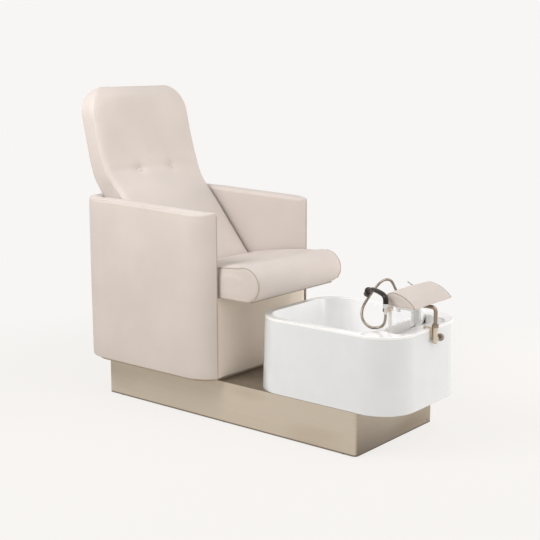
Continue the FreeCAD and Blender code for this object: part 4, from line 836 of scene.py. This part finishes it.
# back cushion: rows up the spine, each (front y, front z, lean in degrees, thickness, half width)
backLook = {
    "spine": [(0.256, 0.511, 39.8, 0.098, 0.259), (0.333, 0.603, 39.8, 0.101, 0.259),
              (0.410, 0.695, 39.8, 0.104, 0.259), (0.480, 0.780, 40.5, 0.106, 0.259),
              (0.536, 0.843, 41.5, 0.106, 0.2592), (0.577, 0.885, 38, 0.104, 0.2623),
              (0.606, 0.930, 29, 0.098, 0.2755), (0.628, 0.980, 21.5, 0.092, 0.281),
              (0.650, 1.060, 13.5, 0.087, 0.281), (0.668, 1.140, 12, 0.086, 0.281)],
    "headRows": [(0.12, 0), (0.25, 0.0004), (0.35, 0.001), (0.5, 0.0024), (0.62, 0.004), (0.72, 0.0067),
                 (0.82, 0.011), (0.89, 0.016), (0.94, 0.021), (0.97, 0.0265), (0.985, 0.030)],
    "top": 1.266, "headCorner": 0.115, "headNarrow": 0.86, "headThin": 1.7, "crown": 0.007, "corner": 0.020,
    "sideBelly": 0.0015, "footZ": 0.5095, "footTop": 0.58, "footFront": 0.3015, "heldBelow": 0.56,
    "voxel": 0.0078, "shrink": 0.0015, "pressure": 5.0, "cap": 0.0025, "calm": 2, "fill": 0.8,
    "sewing": {"radius": 0.0019, "across": 0.2, "into": 0.7, "step": 0.006, "proud": 0.0003,
               "headFrom": 1.14, "headMiddle": (0, 0.66, 1.1), "inset": 0.009, "forward": (0, -0.004, 0)},
}

# tufting: where the buttons pull the front in, and the crease through both
tuftLook = {"buttons": [(-0.093, 0.607, 0.932), (0.093, 0.607, 0.932)], "lean": 29, "dimple": 0.013,
            "dimpleReach": 0.042, "dimpleFall": 2.2, "dimpleCore": 0.016, "coreShares": (0.55, 0.45),
            "behind": -0.03, "crease": 0.0028, "creaseReach": 0.016,
            "creaseEnd": 0.262, "creaseFade": 0.05, "creaseAcross": (0, 0.485, 0.875),
            "radius": 0.012, "sides": 24, "stand": 0.0012,
            "profile": [(0, 0.0042), (0.35, 0.0040), (0.65, 0.0032), (0.88, 0.0016), (1.0, -0.0006),
                        (0.93, -0.0030), (0.6, -0.0045)]}


def intoBack(lean):
    # into the cushion, square to a front that leans back by so many degrees
    tilt = math.radians(lean)
    return Vector((0, math.cos(tilt), -math.sin(tilt)))


def backRing(y, z, lean, thick, half, crown, corner):
    into = intoBack(lean)
    origin = Vector((0, y, z))
    at = lambda x, depth: origin + Vector((x, 0, 0)) + into * depth
    turn = corner * (1 - math.sqrt(0.5))
    side, belly = half - corner / 2, half - backLook["sideBelly"]
    middle, low = (crown + thick) / 2, thick - corner / 2
    return ringFrom([
        ([at(-half + corner, crown), at(0, 0), at(half - corner, crown)], 40),
        ([at(half - corner, crown), at(half - turn, crown + turn), at(half, crown + corner)], 6),
        ([at(half, crown + corner), at(belly, middle), at(half, low)], 6),
        ([at(half, low), at(half - turn / 2, thick - turn / 2), at(side, thick)], 4),
        ([at(side, thick), at(-side, thick)], 40),
        ([at(-side, thick), at(-half + turn / 2, thick - turn / 2), at(-half, low)], 4),
        ([at(-half, low), at(-belly, middle), at(-half, crown + corner)], 6),
        ([at(-half, crown + corner), at(-half + turn, crown + turn), at(-half + corner, crown)], 6),
    ])


def backRows():
    # four steps between the given rows, then the rows that round the head
    a = backLook
    rows, spine = [], a["spine"]
    for low, high in zip(spine, spine[1:]):
        for step in range(4):
            rows.append([p + (q - p) * step / 4 for p, q in zip(low, high)] + [a["crown"], a["corner"]])
    rows.append(list(spine[-1]) + [a["crown"], a["corner"]])
    for turn in range(2):  # eases the kinks
        middle = [[(p + 2 * q + r) / 4 for p, q, r in zip(*three)] for three in zip(rows, rows[1:], rows[2:])]
        rows = [rows[0]] + middle + [rows[-1]]
    y, z, lean, thick, half = spine[-1]
    tilt = math.radians(lean)
    reach = (a["top"] - z) / math.cos(tilt)
    corner = a["headCorner"]
    for share, pinch in a["headRows"]:
        along = share * reach
        rise = max(0, along - (reach - corner))
        narrow = (corner - math.sqrt(max(0, corner ** 2 - rise ** 2))) * a["headNarrow"]
        thin = thick - a["headThin"] * pinch
        rows.append([y + along * math.sin(tilt) + pinch, z + along * math.cos(tilt), lean, thin,
                     half - narrow, a["crown"] - min(0.006, pinch / 5), min(a["corner"], thin * 0.3)])
    return rows


def tuft(cushion):
    # two dimples, and a shallow crease through both, pressed into the front only
    a = tuftLook
    out = -intoBack(a["lean"])
    wide, deep = a["coreShares"]
    front = [v for v in cushion.data.vertices if v.normal.dot(out) > 0.5]
    for v in front:
        pull = 0
        for spot in a["buttons"]:
            away = v.co - Vector(spot)
            if away.dot(out) > a["behind"]:
                side = (away - out * away.dot(out)).length
                core = wide + deep * math.exp(-(side / a["dimpleCore"]) ** 2)
                pull += a["dimple"] * math.exp(-(side / a["dimpleReach"]) ** 2 * a["dimpleFall"]) * core
        level = (v.co - Vector(a["buttons"][0])).dot(Vector(a["creaseAcross"]))
        across = min(1, max(0, (a["creaseEnd"] - abs(v.co.x)) / a["creaseFade"]))
        pull += a["crease"] * across * math.exp(-(level / a["creaseReach"]) ** 2)
        v.co -= out * pull


def sewBack(skin, rows):
    # one welt up the left side, round the head and down the right, with stitches inside it
    a = backLook["sewing"]
    sides = [[], []]
    for y, z, lean, thick, half, crown, corner in rows[6:]:
        for side, points in zip((-1, 1), sides):
            edge = Vector((side * (half - corner * a["across"]), y, z))
            points.append(edge + intoBack(lean) * (crown + corner * a["into"]))
    path = smoothPath(sides[0] + sides[1][::-1], a["step"])
    path = relax(onSurface(skin, relax(path, 6), a["proud"]), 4)
    addWelt("backWelt", [path], a["radius"], "chair")
    inner = []
    for p in path:
        middle = Vector((0, p.y, p.z)) if p.z < a["headFrom"] else Vector(a["headMiddle"])
        inner.append(p + (middle - p).normalized() * a["inset"] + Vector(a["forward"]))
    addStitches("backStitches", [relax(onSurface(skin, relax(inner, 4), a["proud"]), 3)], "chair")


def makeButtons(skin):
    # covered buttons, one profile turned about the skin's own direction
    a = tuftLook
    sides = range(a["sides"])
    points, faces = [], []
    for spot in a["buttons"]:
        near, normal, face, away = skin.find_nearest(Vector(spot))
        turn = normal.to_track_quat("Z", "Y")
        previous = None
        for share, height in a["profile"]:
            reach = a["radius"] * share
            angles = [2 * math.pi * k / a["sides"] for k in sides] if share else [0]
            ring = range(len(points), len(points) + len(angles))
            points += [near + turn @ Vector((math.cos(t) * reach, math.sin(t) * reach, height + a["stand"]))
                       for t in angles]
            if previous:
                for k in sides:
                    j = (k + 1) % a["sides"]
                    closing = (previous[j],) if len(previous) > 1 else ()
                    faces.append((previous[k % len(previous)], ring[k], ring[j], *closing))
            previous = ring
        faces.append(tuple(previous[::-1]))
    covered = smoothShade(fixNormals(fromPydata("tuftButtons", points, faces)))
    settle(covered, "chair", "back_buttons", "cover")


def makeBack():
    a = backLook
    rows = backRows()
    cushion = loft("backCushion", [backRing(*row) for row in rows])
    for v in cushion.data.vertices:  # the foot ends on the seat's board and behind the seat cushion
        v.co.z = max(v.co.z, a["footZ"])
        if v.co.z < a["footTop"]:
            v.co.y = max(v.co.y, a["footFront"])
    puff(cushion, a, lambda p: p.z < a["heldBelow"])
    tuft(cushion)
    finishCushion(cushion, "chair", "back_cushion")
    skin = surfaceTree(cushion)
    sewBack(skin, rows)
    makeButtons(skin)


makeBack()
print("back cushion made")


# footrest cushion: a low rounded roll on its plate, with sewn end panels
footLook = {
    "half": 0.126, "bottom": 0.532, "front": -0.741, "rear": -0.614, "peak": 0.586, "peakY": -0.658,
    "endDrop": 0.004, "lip": 0.005, "lipRun": 0.001, "frontRise": 0.72, "frontSwell": 0.003,
    "rearRise": 0.45, "rearSwell": 0.010, "rearFall": 0.0075, "rearTuck": 0.004,
    "ends": [(1, 0.0035), (0.992, 0.0018), (0.98, 0.0010), (0.93, 0.0006), (0.8, 0.0003), (0.4, 0.0001)],
    "heldBelow": 0.5335,
    "voxel": 0.003, "shrink": 0.0008, "pressure": 5.0, "cap": 0.0015, "calm": 1, "fill": 0.85,
    "sewing": {"radius": 0.0015, "welt": (0.002, 0.0004), "stitches": (0.0085, 0.0004), "sink": 0.002,
               "from": 1, "to": 45, "step": 0.004, "relax": 2},
    "stitch": {"Pitch": 0.004, "Length": 0.0028, "Thread": 0.0009},
}


def footRing(x, sink):
    # one outline from the front edge over the top to the rear edge
    a = footLook
    base, peakY = a["bottom"], a["peakY"]
    peak = a["peak"] - sink - a["endDrop"] * abs(x / a["half"]) ** 2
    front, rear = a["front"] + sink, a["rear"] - sink
    at = lambda y, z: (x, y, z)
    lip = at(front + a["lipRun"], base + a["lip"] - sink / 4)
    frontSide = at((front + peakY) / 2 - a["frontSwell"], base + a["frontRise"] * (peak - base))
    rearSide = at((rear + peakY) / 2 + a["rearSwell"], peak - a["rearFall"])
    rearEdge = at(rear, base + (peak - base) * a["rearRise"])
    rearFoot = at(rear - a["rearTuck"], base)
    return ringFrom([
        ([at(front, base), lip], 2),
        ([lip, frontSide, at(peakY, peak)], 20),
        ([at(peakY, peak), rearSide, rearEdge], 16),
        ([rearEdge, rearFoot], 6),
        ([rearFoot, at(front, base)], 24),
    ])


def makeFootrest():
    a = footLook
    cushion = roll("footrestCushion", a, footRing)
    puff(cushion, a, lambda p: p.z < a["heldBelow"])
    finishCushion(cushion, "footrest", "footrest_cushion")
    welts, rows = sewnEnds(cushion, a, footRing)
    addWelt("footrestWelts", welts, a["sewing"]["radius"], "footrest", "seam")
    addStitches("footrestStitches", rows, "footrest", a["stitch"])


makeFootrest()
print("footrest cushion made")


# body wrap: the padded shell that makes both arms and the rear wall
wrapLook = {
    "half": 0.340, "thick": 0.065, "rear": 0.734, "length": 0.705, "corner": 0.135, "innerCorner": 0.045,
    "bottom": 0.179, "frontTop": 0.815, "rearTop": 0.830, "slopeEnd": 0.534, "noseRun": 0.105,
    "tipStart": 0.0004, "tipThick": 0.0012, "topRound": 0.017, "topMost": 0.42,
    "footRound": 0.004, "footMost": 0.3, "crown": 0.0025, "belly": 0.0012, "fill": 0.95,
    "frontWelt": 0.0022, "weltInset": 0.0006, "seam": 0.0014, "seamInset": 0.0048, "seamProud": 0.0002,
    "step": 0.006, "stitchDrop": 0.010, "stitchAside": 0.007, "stitchProud": 0.0003,
}


def wrapPairs():
    # matching points on the outer and inner faces, from the +X arm's tip round to the -X arm's tip
    a = wrapLook
    front, straightEnd = a["rear"] - a["length"], a["rear"] - a["corner"]
    inner, innerRear = a["half"] - a["thick"], a["rear"] - a["thick"]
    nose = a["noseRun"]
    turn = (a["thick"] ** 2 + nose ** 2) / (2 * a["thick"])
    pairs = []

    def add(outX, outY, inX, inY):
        pairs.append((Vector((outX, outY, 0)), Vector((inX, inY, 0))))

    for step in range(21):  # the arm's rounded tip
        y = front + nose * (1 - math.cos(math.pi / 2 * step / 20)) if step else front + a["tipStart"]
        run = front + nose - y
        add(max(a["half"] - turn + math.sqrt(turn ** 2 - run ** 2), inner + a["tipThick"]), y, inner, y)
    for step in range(1, 31):  # its straight side
        y = front + nose + (straightEnd - front - nose) * step / 30
        add(a["half"], y, inner, y)
    outHub = Vector((a["half"] - a["corner"], straightEnd, 0))
    inHub = Vector((inner - a["innerCorner"], innerRear - a["innerCorner"], 0))
    for step in range(1, 25):  # the rear corner
        angle = math.pi / 2 * step / 24
        ray = Vector((math.cos(angle), math.sin(angle), 0))
        pairs.append((outHub + ray * a["corner"], inHub + ray * a["innerCorner"]))
    for step in range(1, 16):  # the rear wall, to its middle
        share = 1 - step / 15
        add(outHub.x * share, a["rear"], inHub.x * share, innerRear)
    mirror = lambda p: Vector((-p.x, p.y, p.z))
    return pairs + [(mirror(o), mirror(i)) for o, i in pairs[-2::-1]]


def wrapTop(outer, inner):
    # the top edge climbs from the arm's tip to the slope's end
    a = wrapLook
    front = a["rear"] - a["length"]
    share = ((outer.y + inner.y) / 2 - front) / (a["slopeEnd"] - front)
    return a["frontTop"] + (a["rearTop"] - a["frontTop"]) * min(1, max(0, share))


def wrapRing(outer, inner):
    # up the inner face, over the rounded top, down the outer face and back under
    a = wrapLook
    width = (outer - inner).length
    side = (outer - inner).normalized()
    top, low = wrapTop(outer, inner), a["bottom"]
    r, foot = (min(a[key + "Round"], width * a[key + "Most"]) for key in ("top", "foot"))
    belly, crown = (a[key] * min(1, width / a["thick"]) for key in ("belly", "crown"))
    rise = top - r - low - foot
    levels = 18
    quarter = lambda k, count: (math.sin(math.pi / 2 * k / count), math.cos(math.pi / 2 * k / count))
    ring = [(0, low + foot + rise * (k / (levels - 1))) for k in range(levels)]
    for sine, cosine in (quarter(k, 8) for k in range(1, 9)):
        ring.append((r - r * cosine, top - r + r * sine))
    ring += [(r + (width - 2 * r) * k / 8, top + crown * math.sin(math.pi * k / 8)) for k in range(1, 8)]
    for sine, cosine in (quarter(k, 8) for k in range(9)):
        ring.append((width - r + r * sine, top - r + r * cosine))
    for share in (1 - k / (levels - 1) for k in range(1, levels)):
        ring.append((width + belly * math.sin(math.pi * share), low + foot + rise * share))
    for sine, cosine in (quarter(k, 3) for k in range(1, 4)):
        ring.append((width - foot + foot * cosine, low + foot - foot * sine))
    ring += [(width - foot - (width - 2 * foot) * k / 6, low) for k in range(1, 6)]
    for sine, cosine in (quarter(k, 3) for k in range(3)):
        ring.append((foot - foot * sine, low + foot - foot * cosine))
    return [inner + side * out + Vector((0, 0, z)) for out, z in ring]


def makeWrap():
    a = wrapLook
    pairs = wrapPairs()
    shell = smoothShade(loft("bodyWrap", [wrapRing(*pair) for pair in pairs]))
    addPadded(shell, "chair", "body_wrap", "cover")

    # a welt up each arm's front edge
    inner, front = a["half"] - a["thick"] + a["weltInset"], a["rear"] - a["length"] + a["weltInset"]
    welts = [[Vector((side * inner, front, z / 1000)) for z in range(184, 806, 6)] for side in (-1, 1)]
    addWelt("armFrontWelts", welts, a["frontWelt"], "chair", "piping")

    # a seam round the outer top edge, and one up the rear wall at each arm, all with stitches beside them
    skin = surfaceTree(shell)
    inset = a["seamInset"]
    edge = [outer + (inner - outer).normalized() * inset + Vector((0, 0, wrapTop(outer, inner) - inset))
            for outer, inner in pairs[14:-14]]
    seam = relax(onSurface(skin, smoothPath(edge, a["step"]), a["seamProud"]), 2)
    seams = [seam]
    below = [p - Vector((0, 0, a["stitchDrop"])) for p in seam]
    rows = [relax(onSurface(skin, below, a["stitchProud"]), 2)]
    for side in (-1, 1):
        line = [Vector((side * (a["half"] - a["corner"]), a["rear"], z / 1000)) for z in range(186, 812, 6)]
        seams.append(onSurface(skin, line, a["seamProud"]))
        beside = [p - Vector((side * a["stitchAside"], 0, 0)) for p in line]
        rows.append(onSurface(skin, beside, a["stitchProud"]))
    addWelt("bodySeams", seams, a["seam"], "chair")
    addStitches("bodyStitches", rows, "chair")


makeWrap()
print("body wrap made")


# apron: a thin padded panel under the seat
apronLook = {"half": 0.271, "front": 0.031, "rear": 0.061, "bottom": 0.179, "top": 0.490, "round": 0.007,
             "crown": 0.003, "pinch": 0.004, "waist": 0.0008, "rows": 26, "fill": 0.9}


def apronRing(share, pinch):
    # one outline at a share of the height, drawn in by pinch near the two ends
    a = apronLook
    z = a["bottom"] + (a["top"] - a["bottom"]) * share
    swell = math.sin(math.pi * share)
    crown = a["crown"] * swell ** 0.6 if 0 < share < 1 else 0
    half, r = a["half"] - pinch - a["waist"] * swell, a["round"]
    front, rear = a["front"] + pinch, a["rear"]
    slant = r * (1 - math.sqrt(0.5))
    at = lambda x, y: Vector((x, y, z))
    return ringFrom([
        ([at(-half + r, front), at(0, front - crown), at(half - r, front)], 30),
        ([at(half - r, front), at(half - slant, front + slant), at(half, front + r)], 6),
        ([at(half, front + r), at(half, rear)], 3),
        ([at(half, rear), at(-half, rear)], 30),
        ([at(-half, rear), at(-half, front + r)], 3),
        ([at(-half, front + r), at(-half + slant, front + slant), at(-half + r, front)], 6)])


def makeApron():
    a = apronLook
    rings = []
    for row in range(a["rows"] + 1):
        share = row / a["rows"]
        ease = min(share, 1 - share) * a["rows"] / 3
        rings.append(apronRing(share, a["pinch"] * max(0, 1 - ease) ** 2))
    # the apron's cover carries painted light
    addPadded(smoothShade(loft("frontApron", rings), 50), "chair", "front_apron", "apron")


makeApron()
print("apron made")


# hand shower: one smooth moulding with a round head; each point of its path has a radius
handLook = {
    "path": [(-0.154, -0.640, 0.546, 0.0098), (-0.154, -0.640, 0.560, 0.0094),
             (-0.150, -0.633, 0.572, 0.0090), (-0.138, -0.611, 0.5765, 0.0088),
             (-0.120, -0.580, 0.5775, 0.0086), (-0.104, -0.556, 0.5765, 0.0086),
             (-0.090, -0.536, 0.5705, 0.0092), (-0.076, -0.516, 0.561, 0.0105)],
    "section": 0.01, "head": (-0.076, -0.516, 0.561), "headRadius": 0.0148, "aim": (0.35, 0.6, -0.72),
    "faceDepth": 0.86, "rearDepth": 0.98, "voxel": 0.0011, "calm": 6,
    "faceAhead": 0.0206, "nozzleRings": [(0.0, 1), (0.0042, 6), (0.0082, 12)], "nozzle": 0.0008,
}


def makeHandset():
    a = handLook
    width = a["section"]
    places, radii = [spot[:3] for spot in a["path"]], [spot[3] / width for spot in a["path"]]
    grip = nurbsMesh("handsetLine", places, 4, radii, bevel_depth=width, bevel_resolution=8,
                     use_fill_caps=True)
    work = bmesh.new()
    work.from_mesh(grip)
    turn = Vector(a["aim"]).to_track_quat("Z", "Y")
    head = bmesh.ops.create_uvsphere(work, u_segments=32, v_segments=20, radius=a["headRadius"])
    for v in head["verts"]:
        v.co.z *= a["faceDepth"] if v.co.z > 0 else a["rearDepth"]
        v.co = Vector(a["head"]) + turn @ v.co
    mesh = bpy.data.meshes.new("handset")
    work.to_mesh(mesh)
    work.free()
    body = link(bpy.data.objects.new("handset", mesh))
    addRemesh(body, a["voxel"])
    addCalm(body, a["calm"])
    settle(smoothShade(applyModifiers(body)), "handset", "handset_body", "handset")

    # rubber nozzles on the spray face
    size = {"Radius": a["nozzle"]}
    t = geometryTree("nozzleField", size)
    bead = t.add("GeometryNodeMeshIcoSphere", {"Subdivisions": 2}, Radius=t.inputs["Radius"])
    put = t.add("GeometryNodeInstanceOnPoints", Points=t.inputs["Geometry"], Instance=bead.outputs["Mesh"])
    t.finish(put, materials["rubber"])
    centre = Vector(a["head"]) + Vector(a["aim"]).normalized() * a["faceAhead"]
    spots = []
    for radius, count in a["nozzleRings"]:
        for angle in (2 * math.pi * k / count for k in range(count)):
            spots.append(centre + turn @ Vector((radius * math.cos(angle), radius * math.sin(angle), 0)))
    settle(smoothShade(runTree("sprayNozzles", t, spots, [], size)), "handset")


makeHandset()
print("hand shower made")


# grip ribs round the clamp's knob
knobLook = {"centre": (0.038, -0.748, 0.406), "radius": 0.0133, "ribs": 28,
            "rib": {"Radius": 0.0009, "Length": 0.0062}}


def makeKnobRibs():
    a = knobLook
    t = geometryTree("knobRibs", a["rib"])
    rod = t.add("GeometryNodeMeshCylinder", {"Vertices": 8}, Radius=t.inputs["Radius"],
                Depth=t.inputs["Length"])
    t.finish(t.aimed(rod.outputs["Mesh"]), materials["knob"])
    spots = []
    for angle in (2 * math.pi * k / a["ribs"] for k in range(a["ribs"])):
        spots.append(Vector(a["centre"]) + Vector((0, math.cos(angle), math.sin(angle))) * a["radius"])
    ribs = runTree("knobRibs", t, spots, [], a["rib"], [(1, 0, 0)] * a["ribs"])
    settle(smoothShade(ribs, 40), "clamp_knob_unit")


makeKnobRibs()
print("knob ribs made")


# the room: a pale floor and backdrop, and soft lamps
stageLook = {"paper": "F8F6F4", "bounce": "E8E1D7", "floorSize": 60, "shadowShare": 0.14, "shadowNear": 0.9,
             "shadowFar": 2.2, "ambient": 0.47}


def seenDirectly(tree):
    # 1 for camera, glossy and transmission rays
    path = tree.nodes.new("ShaderNodeLightPath").outputs
    total = path["Is Camera Ray"]
    for label in ("Is Glossy Ray", "Is Transmission Ray"):
        total = maths(tree, "ADD", total, path[label], True)
    return total


def makeFloor():
    a = stageLook
    size = a["floorSize"]
    floor = fromPydata("floor", [(-size, -size, 0), (size, -size, 0), (size, size, 0), (-size, size, 0)],
                       [(0, 1, 2, 3)])
    material = bpy.data.materials.new("studioFloor")
    material.use_nodes = True
    tree = material.node_tree
    add, join = tree.nodes.new, tree.links.new
    tree.nodes.remove(tree.nodes["Principled BSDF"])
    matte = add("ShaderNodeBsdfDiffuse")
    matte.inputs["Color"].default_value = hexColour(a["bounce"])
    paper = add("ShaderNodeEmission")
    paper.inputs["Color"].default_value = hexColour(a["paper"])
    length = add("ShaderNodeVectorMath")
    length.operation = "LENGTH"
    join(add("ShaderNodeTexCoord").outputs["Object"], length.inputs[0])
    fade = mapped(tree, length.outputs["Value"], From_Min=a["shadowNear"], From_Max=a["shadowFar"],
                  To_Min=1 - a["shadowShare"], To_Max=1.0)
    fade.interpolation_type = "SMOOTHSTEP"
    mix = add("ShaderNodeMixShader")
    join(maths(tree, "MULTIPLY", fade.outputs["Result"], seenDirectly(tree)), mix.inputs[0])
    join(matte.outputs[0], mix.inputs[1])
    join(paper.outputs[0], mix.inputs[2])
    join(mix.outputs[0], tree.nodes["Material Output"].inputs["Surface"])
    giveMaterial(floor, material)


def makeWorld():
    world = bpy.data.worlds.new("studio")
    bpy.context.scene.world = world
    world.use_nodes = True
    tree = world.node_tree
    shade = tree.nodes["Background"]
    shade.inputs["Color"].default_value = hexColour(stageLook["paper"])
    strength = mapped(tree, seenDirectly(tree), To_Min=stageLook["ambient"], To_Max=1.0)
    tree.links.new(strength.outputs["Result"], shade.inputs["Strength"])


# tint and shine are given where a lamp isn't white, or isn't seen in gloss
lamps = {
    "keyLamp": {"place": (-2.4, 0.7, 2.7), "at": (0, 0.3, 0.7), "size": 1.6, "power": 32},
    "nearLamp": {"place": (-1.6, 0.5, 2.3), "at": (0, 0.3, 0.7), "size": 1.0, "power": 20},
    "frontLamp": {"place": (0.8, -4.0, 1.6), "at": (0, -0.4, 0.5), "size": 2.0, "power": 15},
    "topLamp": {"place": (-0.6, -2.6, 3.2), "at": (0, -0.3, 0.5), "size": 2.0, "power": 26},
    "basinLamp": {"place": (0.3, -1.2, 2.2), "at": (0, -0.5, 0.4), "size": 0.8, "power": 4},
    "frontLowLamp": {"place": (1.0, -3.1, 0.45), "at": (0, -0.6, 0.3), "size": 1.0, "power": 10,
                     "shine": False},
    "lowLamp": {"place": (2.2, -1.0, 0.6), "at": (0, 0.05, 0.33), "size": 0.9, "power": 22, "tint": "FFFAF2",
                "shine": False},
}


def makeLamps():
    for name, a in lamps.items():
        data = bpy.data.lights.new(name, "AREA")
        data.size = a["size"]
        data.energy = a["power"]
        data.color = hexColour(a.get("tint", "FFFFFF"))[:3]
        lamp = link(bpy.data.objects.new(name, data))
        lamp.location = a["place"]
        lamp.visible_glossy = a.get("shine", True)
        lamp.rotation_euler = (Vector(a["at"]) - Vector(a["place"])).to_track_quat("-Z", "Y").to_euler()


makeFloor()
makeWorld()
makeLamps()
bpy.context.scene.view_settings.view_transform = "Standard"
print("stage set")
